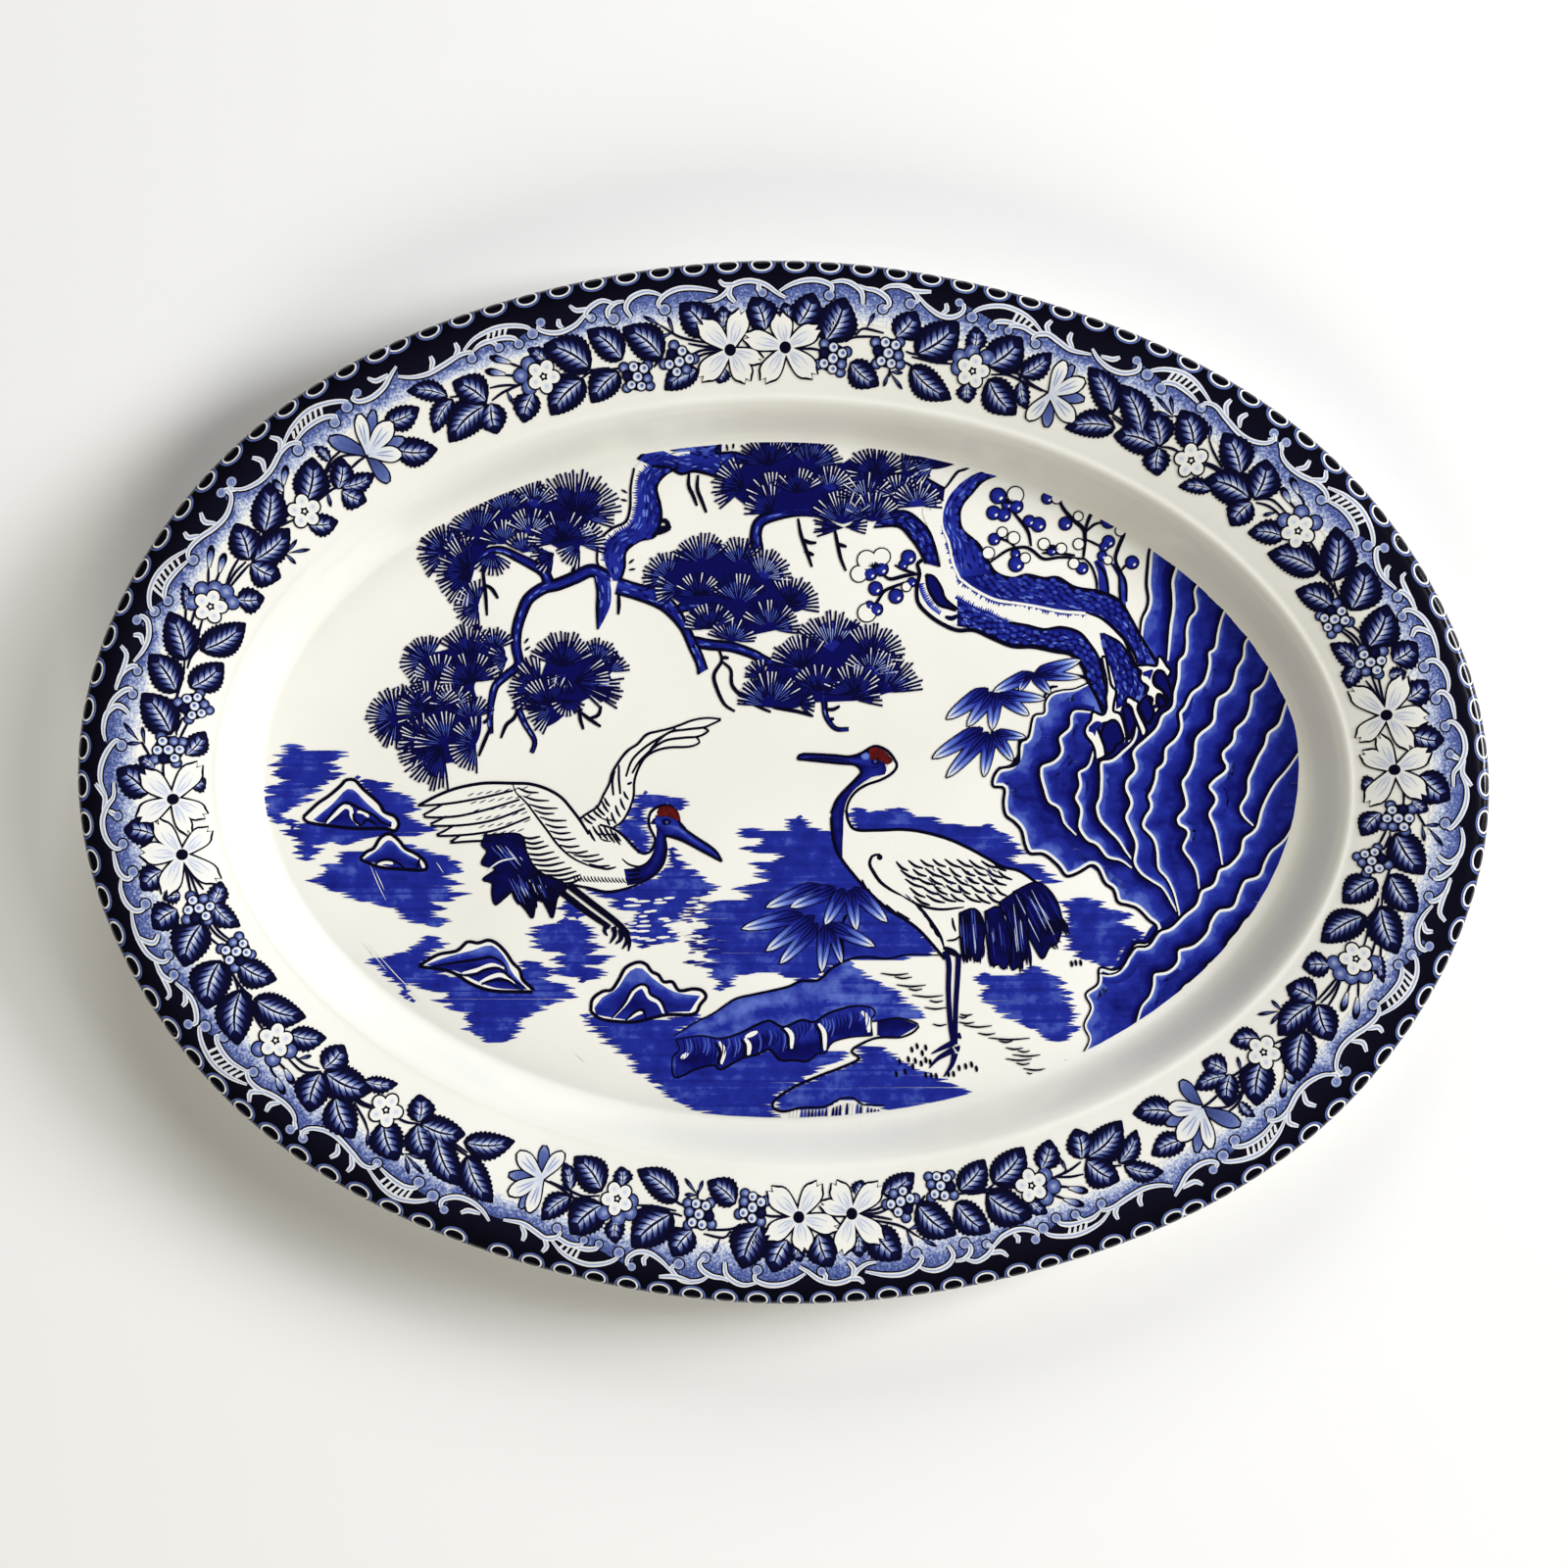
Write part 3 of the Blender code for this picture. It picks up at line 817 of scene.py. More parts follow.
# %% The scrolls: points, bulb, and 1 where the paler ground begins under them
SIDE_SCROLLS = table("""-113.5,9.5 -110,11.4 -105.5,12.3 -100,11.6 -95.5,10.7 -92,11.2 -92.6,12.9 1.3
    1 / -94,10 -90,7.8 -84,6.8 -79,7.6 -75.2,9.3 -74.3,11.4 1.5 0 / -91.5,11 -89,9.9 -86,10 -84.4,12.4
    1.2 1 / -87,9.8 -82.5,10.1 -79.5,11.3 -78.8,13.1 1.3 1 / -57.2,8.2 -60,10.6 -62.6,12.2 -66.5,13
    -70,12.2 -72.4,10.4 -71.3,8.9 1.3 1 / -65.6,12 -66.6,10.8 -66.2,9.2 0 0 /
    -104.6,11.6 -103.2,10 -103,8 0 0 / -97,10.6 -95.4,9.2 -95.4,7 0 0 / -62.5,6.1 -60.8,8 -57,8.2 0 0 /
    -50,8.3 -53.5,6.7 -57.2,8 -58.7,9.9 -57.3,11 1.2 1 / -47.5,8 -50,8.1 -52.2,9.6 -52.5,11.6 -51.2,12.5
    1.5 1 / -36.8,8.2 -39,6.9 -42,6.3 -45.5,7.4 -47.3,9.9 -46.3,12.8 0 1 /
    -21.5,8.5 -27,7 -32,6.6 -36,7.9 -38.3,10.4 -36.6,12.1 1.5 1 / -25,11 -22,10.6 -19.3,9 -17.3,6.8
    -13,5.7 -8.5,6.8 -5,9.3 -2.6,10.7 0 1 / -20.9,5.1 -19.5,6.6 -16.5,6.6 0 0 /
    -17.6,7.2 -18.3,9.6 -16.8,11.8 0 0 / -9.8,6.4 -10.1,8 -9,9.3 1.2 0 /
    -4.3,8.8 -1,6.8 3,5.5 7,5.5 10.2,7 9.6,9.6 1.4 1 / 9.7,5.9 13,5.1 16,5.9 18.5,8 19.1,11.4 0 1 /
    17.5,6 19.5,6.7 22.5,7 25.5,8.6 26.4,10.6 24.9,12 1.4 1 / 23.4,6.9 26,5.2 30,4.7 32.8,6 34.2,8.1
    32.3,9.4 1.5 1 / 28.5,5 33,5.6 37.4,5 0 0 / 34,6.8 37,9.3 41,11.2 44.5,11 46.9,9 46.9,7 45.5,6.5 1.2
    1 / 41.3,10.6 42.5,9.3 41.9,7.5 0 0 / 69.7,8.9 66,6.3 62,4.9 57.5,4.6 53,6 50.2,8 49.8,9.8 1.5 0 /
    64,8.7 59.5,8.7 56.5,9.6 56,11 1.1 1 / 71.5,9 68,9.8 64.5,8.9 61.2,9.4 60.5,11.1 1.1 1 /
    84.5,10.3 79,11 75,9.9 71.5,8.8 68.6,9.7 67.7,11.4 68.9,12.5 1.3 1 / 72,8.8 70.4,6.8 71.2,4.7 0 0 /
    79.2,10.4 77.4,8.4 77.4,6.2 0 0""")
END_SCROLLS = table("""84.2,8.6 87,10.8 91,12.1 95,11.7 98,9.6 97.9,7.6 96.7,7 1.2 1 /
    87.2,9.7 90.5,9.4 92.2,8 0 0 / 120,8.2 114,5.3 109.5,4.6 105,5.8 101.8,7.8 101,9.4 1.6 0 /
    117,10 113,8.8 109,8.4 106,9.6 106,11.3 1.5 1 / 138.8,5.6 140,7 138.5,9.3 135,11 131,11.2 126,9.8
    121.5,8.3 118.7,9.2 118.5,10.8 1.3 1 / 138.5,8 140,6.8 138.8,5.6 1.3 0 /
    126,9.4 124,6.8 124.3,4.5 0 0 / 130.4,9.9 129.1,7.6 130.1,5.4 0 0 /
    143.6,8 142.2,6.8 142.9,5.5 1.3 0 / 142.4,7 144.5,9.3 148,10.2 152,9.8 156,8.5 159.6,8.5 161.6,9.9
    160.3,11 1.3 1 / 149.4,9.5 151.1,7.5 150.8,5.1 0 0 / 154.2,9 157.1,6.4 155.7,4 0 0 /
    159.2,7.2 164,5.2 169.5,4.4 175,5.7 178.7,8 178,9.5 1.5 0 / 161.5,9.9 166,8.5 170.5,8.6 174,10
    172.7,11.7 1.4 1 / 192,9.7 187,11 183,10.1 180.3,8 181.2,6 1.3 1 /
    188.6,10.4 186.4,9.2 185.9,7.6 0 0 / 189.7,4.9 191,6.9 199.5,7.7 0 0 /
    199.5,7.8 196,7.4 193.2,8.8 194,10.5 1.3 1 / 214,7.7 210,6.6 206,6.3 202,6.9 199,8.8 198.2,10.8
    199.3,12 1.3 1 / 207.2,6.5 205,8.2 204,10.2 205.4,12.1 0 0 / 222.5,7.9 220,6.9 216.5,7 213.8,8.5
    213.2,10.8 214.3,12.2 1.4 1 / 230,7.8 225,7.7 222.4,9.1 222.2,10.8 223.5,11.8 1.4 1 /
    247.6,10.4 244,10.2 241.5,8 238,6.3 234,6.4 231,8 230.3,9.8 231.3,11 1.3 1 /
    240.5,6.8 244,7.7 247.4,5.2 0 0 / 240.4,8.4 239.6,9.6 238.8,10.8 1.2 0 /
    244.5,8 248,6.6 252,6.8 256,8.5 258.7,10.8 257.5,12.3 1.4 1 / 258.2,7.6 261,6.6 265,6.8 267.5,9
    267.5,11 266.4,12.9 0 1 / 265.5,6.8 269,8 271.8,10.3 272.6,12.2 271.5,13 1.2 1 /
    271.5,8 275.5,8.2 278,9.8 278.9,11.6 277.8,12.5 1.2 1 / 272,7.7 277,8.4 281,8 282.6,5.6 0 0 /
    279.8,10.6 283.5,12 287.5,12 291,10 291.6,7.6 290.2,7 1.3 1 / 284.9,11.4 286.8,9.8 286.3,7.8 0 0 /
    312.6,9.4 307.5,7 302.5,6 298,6.7 294.7,8.8 294.2,10.5 1.4 0 / 310.3,11.4 306,10.2 302,9.8 298.8,11
    298.3,12.5 1.3 1 / 329.7,6.8 331.5,8.3 330,10.5 326,12.2 321.5,11.8 317,10.3 313,9.8 311,11
    311.3,12.6 1.4 1 / 331,9 331.4,7.4 329.8,6.8 1.3 0 / 317.6,9.9 315.4,7.8 315.8,5.8 0 0 /
    322.9,11.4 321.2,8.6 322.4,6.1 0 0 / 333.2,9.4 332.2,8 333.7,6.8 1.4 0 /
    332.3,8.2 335,10.8 339.5,12.2 344,11.8 348.5,10 352,9.8 354.3,11.3 352.8,12.6 1.5 1 /
    341.9,11.4 343.3,8.5 342,5.9 0 0 / 348.4,9.9 350.4,7.4 349,4.8 0 0 /
    350.3,8.9 355,6.5 361,5.3 366.5,6.5 371,8.9 370.3,10.3 1.5 0 / 353.5,10.2 358,9 363,9.2 366.4,10.9
    365.3,12.2 1.4 1 / 387.2,6.7 384.5,8.5 381.5,10.5 377.5,11.4 374,10.7 372.8,9 374.6,8.3 1.2 1 /
    379,6 380.6,7.9 384.3,7.9 0 0""")
SIDE_BARS = ((1, 3), (24, 26))
END_BARS = ((2, 3), (12, 13), (32, 33), (42, 43))
print("scrolls engraved:", len(SIDE_SCROLLS), "and", len(END_SCROLLS))

# %% [markdown]
# ## Laying the tissues on the rim
# A printed tissue is a flat strip of wet paper that is pressed on the curved rim, so the print is made
# here in the same way: drawn flat, then each corner is set down on the face of the body. A little slip
# and stretch in each tissue is what makes the joins between them show.

# %% The running length along the rim
GUIDE_DEPTH = 18.0
GUIDE_STEPS = 1440


def guide_lengths():
    """Running lengths along the guide line, clockwise from the middle of the far side."""
    turns = [math.pi / 2 - 2 * math.pi * k / GUIDE_STEPS for k in range(GUIDE_STEPS + 1)]
    spots = [plan_point(turn, GUIDE_DEPTH) for turn in turns]
    lengths = [0.0]
    for start, end in zip(spots, spots[1:]):
        lengths.append(lengths[-1] + (end - start).length)
    return lengths


LENGTHS = guide_lengths()
ROUND = LENGTHS[-1]


def turn_at(place):
    """The turn round the oval at this running length."""
    place %= ROUND
    k = min(bisect.bisect_right(LENGTHS, place), GUIDE_STEPS)
    part = k - 1 + (place - LENGTHS[k - 1]) / (LENGTHS[k] - LENGTHS[k - 1])
    return math.pi / 2 - 2 * math.pi * part / GUIDE_STEPS


print(f"once round the garland: {ROUND:.0f} mm")

# %% The dark edge and the stippled ground under the garland
EDGE_START = -2.4
WASH_END = 17.0
WASH_TONE = 0.5
EDGE_ROWS = 22
WASH_ROWS = 8


def ground_line(scrolls, start, end):
    """Depth of the dark edge's inner limit at each millimetre: the scrolls hide it."""
    depths = {}
    for *points, _, ground in scrolls:
        if ground:
            for spot in smooth_path(points, 0.5):
                near = round(spot.x)
                depths[near] = min(depths.get(near, 99), spot.y)
    known = sorted(depths)
    line_depths = []
    for place in range(math.floor(start), math.ceil(end) + 1):
        after = min(bisect.bisect_left(known, place), len(known) - 1)
        before = max(after - 1, 0) if known[after] != place else after
        gap = max(known[after] - known[before], 1)
        u = min(max((place - known[before]) / gap, 0), 1)
        line_depths.append((place, depths[known[before]] * (1 - u) + depths[known[after]] * u))
    return line_depths


def lay_grounds(edge, wash, limits):
    """The edge band from behind the lip to the scrolls, and the wash from there on."""
    band, ground = [], []
    for place, limit in limits:
        cuts = [EDGE_START + (limit - EDGE_START) * k / EDGE_ROWS for k in range(EDGE_ROWS + 1)]
        # The band's tone rises from 2 mm in: a painted sheen on the inner slope of the rolled edge, over
        # the dark print.
        band.append([(place, depth, 0.14 * max(0, (depth - 2) / 6)) for depth in cuts])
        fade = [limit + (WASH_END - limit) * k / WASH_ROWS for k in range(WASH_ROWS + 1)]
        tones = [WASH_TONE + (1 - WASH_TONE) * (k / WASH_ROWS) ** 1.3 for k in range(WASH_ROWS + 1)]
        ground.append([(place, depth, tone) for depth, tone in zip(fade, tones)])
    edge.web(band)
    wash.web(ground)


print(f"the paler ground fades out {WASH_END:.0f} mm in")

# %% One engraving, drawn flat
SIDE, END = "side", "end"
ENGRAVINGS = {
    SIDE: dict(start=-113, end=85, leaves=SIDE_LEAVES, daisies=SIDE_DAISIES, berries=SIDE_BERRIES,
               blossoms=SIDE_BLOSSOMS, lilies=SIDE_LILIES, buds=SIDE_BUDS, sprigs=SIDE_SPRIGS,
               stems=SIDE_STEMS, scrolls=SIDE_SCROLLS, bars=SIDE_BARS),
    END: dict(start=85, end=387, leaves=END_LEAVES, daisies=END_DAISIES, berries=END_BERRIES,
              blossoms=END_BLOSSOMS, lilies=END_LILIES, buds=END_BUDS, sprigs=END_SPRIGS,
              stems=END_STEMS, scrolls=END_SCROLLS, bars=END_BARS),
}
LEVELS = {
    "edge": (0.03, edge_ink_and_sheen), "wash": (0.03, wash_ink), "scroll_lines": (0.05, line_ink),
    "scrolls": (0.07, scroll_ink), "foliage": (0.09, leaf_ink), "leaf_lights": (0.11, leaf_ink),
    "flower_lines": (0.13, line_ink), "flowers": (0.15, petal_ink), "details": (0.17, line_ink),
    "eyes": (0.19, petal_ink),
}
LEAF_SPREAD = 1.1


def draw_engraving(kind, spare):
    """All levels of one engraving. spare is how far its grounds run on past its end."""
    plate = ENGRAVINGS[kind]
    inks = {level: Ink() for level in LEVELS}
    limits = ground_line(plate["scrolls"], plate["start"], plate["end"] + spare)
    lay_grounds(inks["edge"], inks["wash"], limits)
    edge_ovals(inks["scrolls"], plate["start"], plate["end"] + spare)
    for *points, bulb, _ in plate["scrolls"]:
        scroll(inks, points, bulb=bulb)
    for arch, floor in plate["bars"]:
        over, under = (sorted(plate["scrolls"][k][:-2]) for k in (arch, floor))
        bars(inks, over, under)
    for points in plate["stems"]:
        line(inks["foliage"], points, (0.5, 0.8, 0.5), tone=0.05)
    for tip, base, width in plate["leaves"]:
        leaf(inks["foliage"], inks["leaf_lights"], tip, base, width * LEAF_SPREAD)
    for tip, base in plate["sprigs"]:
        sprig(inks, tip, base)
    for tip, base in plate["buds"]:
        bud(inks, tip, base)
    for centre, turn in plate["berries"]:
        berries(inks, centre, turn)
    for centre, turn, *behind in plate["blossoms"]:
        blossom(inks, centre, turn, behind=behind)
    for centre, white, blue in plate["lilies"]:
        lily(inks, centre, white, blue)
    for centre, petals in plate["daisies"]:
        daisy(inks, centre, petals)
    return inks


print("levels of a tissue:", len(LEVELS))

# %% The four tissues pressed on the rim
# Past the inner depth the print is squeezed a little, so that no leaf runs down the wall of the well.
INNER_DEPTH = 30.0
INNER_SQUEEZE = 0.9
# The engraving, the share of a round it starts at, its slip and stretch, and how far its grounds run on.
TISSUES = {
    "north": (SIDE, 0.0, 0.0, 0.0, 0.0),
    "east": (END, 0.0, 0.0, 0.0, 0.0),
    "south": (SIDE, 0.5, -5.09, -0.035, 4.0),
    "west": (END, 0.5, -5.75, 0.018, 0.0),
}


def press_on_rim(ink, lift, half, slip, stretch):
    """Sets each corner of a flat drawing down on the body's face."""
    for corner in ink.mesh.verts:
        place = corner.co.x * (1 + stretch) + slip + half * ROUND
        depth = corner.co.y - (1 - INNER_SQUEEZE) * max(0, corner.co.y - INNER_DEPTH)
        corner.co = face_point(turn_at(place), depth, PRINT_GAP + lift + corner.co.z)


def lay_tissue(name, kind, half, slip, stretch, spare):
    """One tissue: a piece for each level of ink."""
    for level, ink in draw_engraving(kind, spare).items():
        ink.face_all(up=False)
        lift, material = LEVELS[level]
        press_on_rim(ink, lift, half, slip, stretch)
        piece = make_piece(f"{name}_{level}", ink.mesh, material)
        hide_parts(f"border_print_{name}")
        print(f"{name} {level}: {len(piece.data.polygons)} faces")


for tissue, facts in TISSUES.items():
    lay_tissue(tissue, *facts)

# %% [markdown]
# ## The picture in the well
# The picture is one more tissue. Its engraver used broad flat areas of strong blue, ragged strokes for
# water, and near-black outlines, so the tools here are a filled sheet between two edges, a wash of
# level strokes, and the same swelling line as on the rim. The well's floor is flat, so it is laid as is.

# %% Inks of the picture
DEEP = shade(10, 12, 92)
ULTRAMARINE = shade(32, 44, 148)
SKY = shade(98, 122, 205)
SCENE_STOPS = [(0.0, shade(4, 3, 26)), (0.22, DEEP), (0.5, ULTRAMARINE), (0.75, SKY), (0.88, MIST),
    (1.0, IVORY)]
brush_ink = ink_finish("printed_brushwork", SCENE_STOPS, mottle=0.10, grain=900, cloud=0.5,
    cloud_scale=190)
pen_ink = ink_finish("printed_penwork", SCENE_STOPS, mottle=0.06, grain=1100)
SCENE_LEVELS = {
    "washes": (0.02, brush_ink), "grounds": (0.04, brush_ink), "blanks": (0.06, pen_ink),
    "tints": (0.08, brush_ink), "marks": (0.10, pen_ink), "lines": (0.12, pen_ink),
    "fans": (0.14, pen_ink), "needles": (0.16, pen_ink), "tops": (0.18, pen_ink),
}
PICTURE = {level: Ink() for level in SCENE_LEVELS}
WASHES, GROUNDS, BLANKS, TINTS, MARKS, LINES, FANS, NEEDLES, TOPS = PICTURE.values()
chance = random.Random(7)
print("levels of the picture:", len(PICTURE))

# %% Sheets, washes and bands
def even_path(points, count, step=0.6):
    """count + 1 places at equal lengths along a smooth path."""
    path = smooth_path(points, step)
    reach = [0.0]
    for start, end in zip(path, path[1:]):
        reach.append(reach[-1] + (end - start).length)
    places = []
    for k in range(count + 1):
        goal = reach[-1] * k / count
        n = min(max(bisect.bisect_left(reach, goal), 1), len(path) - 1)
        u = (goal - reach[n - 1]) / max(reach[n] - reach[n - 1], 1e-9)
        places.append(path[n - 1].lerp(path[n], min(max(u, 0), 1)))
    return places


def sheet(ink, one, other, tones, count=24):
    """A filled area between two edges, with tones from the first edge to the second."""
    pairs = zip(even_path(one, count), even_path(other, count))
    spots = evenly(0, 1, len(tones) - 1) + [1]
    ink.web([[(*a.lerp(b, v), t) for v, t in zip(spots, tones)] for a, b in pairs])


def band(ink, points, inner, outer, tones, taper=0.0):
    """A strip beside a path, from inner to outer millimetres off its left hand."""
    path = smooth_path(points, 1.0)
    spots = evenly(0, 1, len(tones) - 1) + [1]
    hand = math.copysign(1, outer - inner)
    rows = []
    for k, place in enumerate(path):
        side = side_of(path, k)
        fit = 1 - taper * abs(2 * k / (len(path) - 1) - 1) ** 3
        row = [place + side * (inner + (outer - inner) * v) * fit for v in spots]
        for n in range(1, len(row)):
            if rows:
                old = rows[-1]
                turns = corner_turns([old[n - 1], row[n - 1], row[n], old[n]])
                if min(turn * hand for turn in turns) < 0:
                    row[n] = old[n]
        rows.append(row)
    ink.web([[(*spot, t) for spot, t in zip(row, tones)] for row in rows], closed=True)


def crossings(outline, height):
    """Where a level line at this height crosses a closed outline."""
    found = []
    for start, end in zip(outline, outline[1:] + outline[:1]):
        if (start[1] > height) != (end[1] > height):
            found.append(start[0] + (end[0] - start[0]) * (height - start[1]) / (end[1] - start[1]))
    return sorted(found)


def wash(ink, outline, tone=0.47, pitch=0.9, jag=2.2, spread=0.05):
    """Level brush strokes that fill an outline and end raggedly."""
    low, high = min(y for _, y in outline), max(y for _, y in outline)
    rise = ink.next_film()
    for k in range(round((high - low) / pitch)):
        height = low + pitch * (k + 0.5)
        cuts = crossings(outline, height)
        for left, right in zip(cuts[::2], cuts[1::2]):
            left -= chance.uniform(-0.6, 1) * jag
            right += chance.uniform(-0.6, 1) * jag
            if right - left < 1:
                continue
            hue = tone + chance.uniform(-spread, spread)
            point = min(chance.uniform(1.5, 4), (right - left) / 2.2)
            half = pitch * 0.62
            rows = []
            for x, share in ((left, 0.08), (left + point, 1), (right - point, 1), (right, 0.08)):
                drift = chance.uniform(-0.2, 0.2)
                rows.append([(x, height + drift - half * share, hue),
                    (x, height + drift + half * share, hue)])
            ink.web(rows, rise=rise + FILM * 0.5 * (k % 2))


def solid(ink, outline, tone, pitch=0.5):
    """A plain filled outline, laid as close level strips."""
    path = smooth_path(outline + outline[:1], 1.0)
    spots = [(p.x, p.y) for p in path]
    low, high = min(y for _, y in spots), max(y for _, y in spots)
    steps = max(2, math.ceil((high - low) / pitch))
    rise = ink.next_film()
    for k in range(steps):
        bottom, top = (low + (high - low) * (k + u) / steps for u in (0, 1))
        lower, upper = crossings(spots, bottom + 0.01), crossings(spots, top - 0.01)
        cuts = lower if len(lower) >= len(upper) else upper
        for n in range(0, len(cuts) - 1, 2):
            same = len(lower) == len(upper)
            first = (lower if same else cuts)[n:n + 2]
            second = (upper if same else cuts)[n:n + 2]
            ink.web([[(x, bottom, tone) for x in first], [(x, top, tone) for x in second]], rise=rise)


def pen(points, width=0.75, tone=0.0, ink=LINES, ends=0.45):
    """One pen line of the picture."""
    line(ink, points, (width * ends, width, width * ends), tone=tone)


print("picture tools ready")

# %% Water: ragged washes
WATERS = table("""-146,10 -143,11.5 -140,11 -138,9 -132,9 -122,8.4 -128,7 -130,5.5 -129,4 -131,3 -123,2
    -131,0.5 -132,-1 -134,-2 -137,-5 -141,-7.5 -143,-9.5 -141,-11.5 -139,-12.5 -141,-13.5 -148,-11
    -150,-8.5 -150.5,-4 -150,-1.5 -146,-1 -144,0.5 -147,2 -147,5 -145,8 /
    -124,1.8 -119,1 -114,-0.5 -110,-3.5 -105,-5.5 -106,-8 -107,-10 -102,-12.5 -101,-14 -104,-15.7
    -112,-15.6 -118,-15.5 -122,-17 -126,-18 -131,-17.5 -136,-18.5 -132,-20 -137,-22.5 -138.5,-22.5
    -141,-19 -140,-16.5 -144,-14 -139,-11.8 -130,-8 -120,-6 / -108,-18 -102,-19.5 -95,-21.5 -94,-23.5
    -91,-25 -95,-27 -93,-29 -95,-31 -89,-32 -97,-34.3 -102,-34 -96,-36.5 -100,-38 -96,-40 -98,-41.5
    -104,-41 -112,-38.5 -111,-36.5 -117,-35.5 -123,-33.8 -130,-31 -136,-29 -136,-27 -130,-26 -133,-24.5
    -129,-23 -128,-21 -124,-19.5 -119,-20 / -101,-44 -98,-44.5 -98,-47 -101,-49 -102,-54 -90,-57 -78,-58
    -76,-52 -70,-51.5 -66,-54 -68,-57 -61,-58.5 -60,-62.5 -67,-64 -70,-66 -74,-67 -74,-70 -77,-72.5
    -79,-75 -84,-75 -88,-73 -91,-71 -92,-68.5 -93,-66 -97,-65 -96,-63.5 -100,-63 -97,-61 -103,-60
    -108,-58 -106,-63 -109,-61 -111,-58 -115,-55.5 -120,-51.5 -114,-50 -110,-48.5 -105,-47 -103,-45 /
    -74,-42 -70,-42 -66,-40 -62,-38 -60,-40 -56,-42 -53,-43.5 -56,-45.5 -50,-47.5 -57,-49 -49,-50
    -50,-52 -58,-52.5 -50,-54 -54,-56.5 -58,-57.8 -61,-56 -68,-55 -64,-52.5 -68,-50.5 -63,-49 -71,-48.5
    -72,-45.5 -73,-44 / -65,-37 -62,-34.3 -58,-36 -56,-38.5 -60,-39.5 /
    -58,-29.5 -52,-31 -44,-30 -38,-27.5 -34,-23 -32.5,-19 -30,-22 -27,-25 -24,-26.5 -22,-28.5 -19,-30
    -22,-32 -26,-33 -24,-35 -30,-37 -28,-39.5 -33,-41 -30,-43.5 -30,-45.5 -36,-46.5 -42,-47.7 -45,-45
    -46,-42 -45,-39.5 -41,-37.5 -49,-36 -50,-34 -53,-33 -57,-32 / -44,-3.7 -40,-3 -36,-3.7 -29,-4.5
    -28,-6.5 -31,-8 -34,-6.8 -37.5,-7.5 -39.5,-10 -39,-14 -37.5,-17 -38,-19.8 -40.5,-20.6 -43,-19.6
    -47,-15.5 -49,-13 -45,-9.5 -44,-6 / -14,-14.2 -8,-13 -2,-14.5 0,-13.5 3,-10 5,-9.3 8,-12 7,-13
    12,-13.5 16,-15 18,-21 22,-25.5 26,-29 30,-34.5 36,-39 40,-42 44,-47 46,-49.5 30,-51 20,-51 14,-53.5
    10,-57 3,-57.5 0,-55.5 -5,-54.5 -12,-56 -16,-59.5 -20,-60 -18,-57 -23,-56 -20,-54 -25,-53.5
    -19,-51.5 -24,-49.5 -20,-47.5 -26,-47 -21,-45 -25,-43 -21,-41 -26,-38.5 -21,-36 -22,-33.5 -14,-34
    -10,-32 -16,-31 -9,-29 -3,-28.5 -9,-26.5 -2,-25 -14,-24 -3,-22.5 -2,-20.5 -13,-19.5 -6,-18 -4,-16.5
    -11,-16 / 18,-8.5 22,-7.6 26,-8.8 29,-7.4 34,-7.3 37,-9 40,-10.5 43,-9.5 46,-11.5 50,-11.8 55,-12.6
    60,-12 62,-14.5 66,-16.5 68,-19 69,-21.5 66,-22.5 70,-24 74,-24 79,-28 78,-29 70,-28 66,-27 62,-26
    55,-22 47,-18 38,-15 28,-14.5 22,-15 18,-12 / 80,-34 86,-33 90,-34 94,-36.5 100,-38.5 99,-41
    105,-43.5 102,-46 99,-49 96,-52.5 93,-53 90,-52 84,-49.3 81,-47 82,-43 80,-41 82,-38 81,-36 /
    70,-52.5 74,-52.8 78,-55 80,-58 82,-60 82,-63.5 85,-65.5 84,-68 85,-71.5 82,-74.5 79,-75.5 74,-73
    70,-70.5 66,-69 63,-67 60,-64.5 56,-61.5 57,-58.5 54,-56 57,-54 60,-55.3 66,-55.5 /
    -59,-66.5 -52,-68 -43,-69 -34,-68.7 -26,-66.5 -22,-66.5 -28,-72 -10,-78 18,-77.5 16,-80 8,-84
    -1,-90.5 -3,-93.5 1,-97 -10,-97.3 -20,-96.3 -28,-93 -33,-90.5 -38,-86 -41,-84 -45,-80 -50,-76.5
    -53,-73 -56,-70.5""")
REEDS = 60
GLEAMS = 34
for water in WATERS:
    wash(WASHES, water)
for _ in range(REEDS):
    reed = (chance.uniform(-30, -20), chance.uniform(-54, -30))
    pen((reed, (reed[0] + chance.uniform(2, 5), reed[1] + 0.2)), 0.55, 0.3, WASHES)
for _ in range(GLEAMS):
    gleam = (chance.uniform(-50, -24), chance.uniform(-46, -33))
    pen((gleam, (gleam[0] + chance.uniform(2, 5), gleam[1] + 0.2)), 0.7, 1.0, GROUNDS)
print("washes:", len(WATERS))

# %% The bank and its cliff
BANK_TOP = xy("""-31.5,-73 -25,-69 -20,-66.5 -14,-62.5 -8,-61 1,-59 5,-57.3 10,-57 14,-53.5 19,-51
    24,-50.3 30,-50.8 36,-49.6 45,-49.8""")
BANK_FOOT = xy("""-31,-74 -24,-73 -18,-73.8 -12,-72 -8,-70 -4,-68.7 0,-70.5 5,-68.5 9,-69 13,-66.5
    20,-64.5 25,-64.8""")
CLIFF_FOOT = xy("""-31,-85 -25,-82.5 -20,-81.5 -18,-82.7 -12,-79.5 -8,-78.5 -4,-77 -1,-80 3,-80 7,-80.3
    10,-78 12,-78 14,-75 19,-73.5 25.5,-73""")
sheet(GROUNDS, BANK_TOP[:10], BANK_FOOT, (0.52, 0.6, 0.5, 0.56))
wash(GROUNDS, xy("""18,-51 22,-53.5 28,-57.5 34,-61 38,-65 42,-67.7 38,-68.5 30,-68.5 26,-69 20,-66
    10,-68"""), 0.55, jag=1.6)
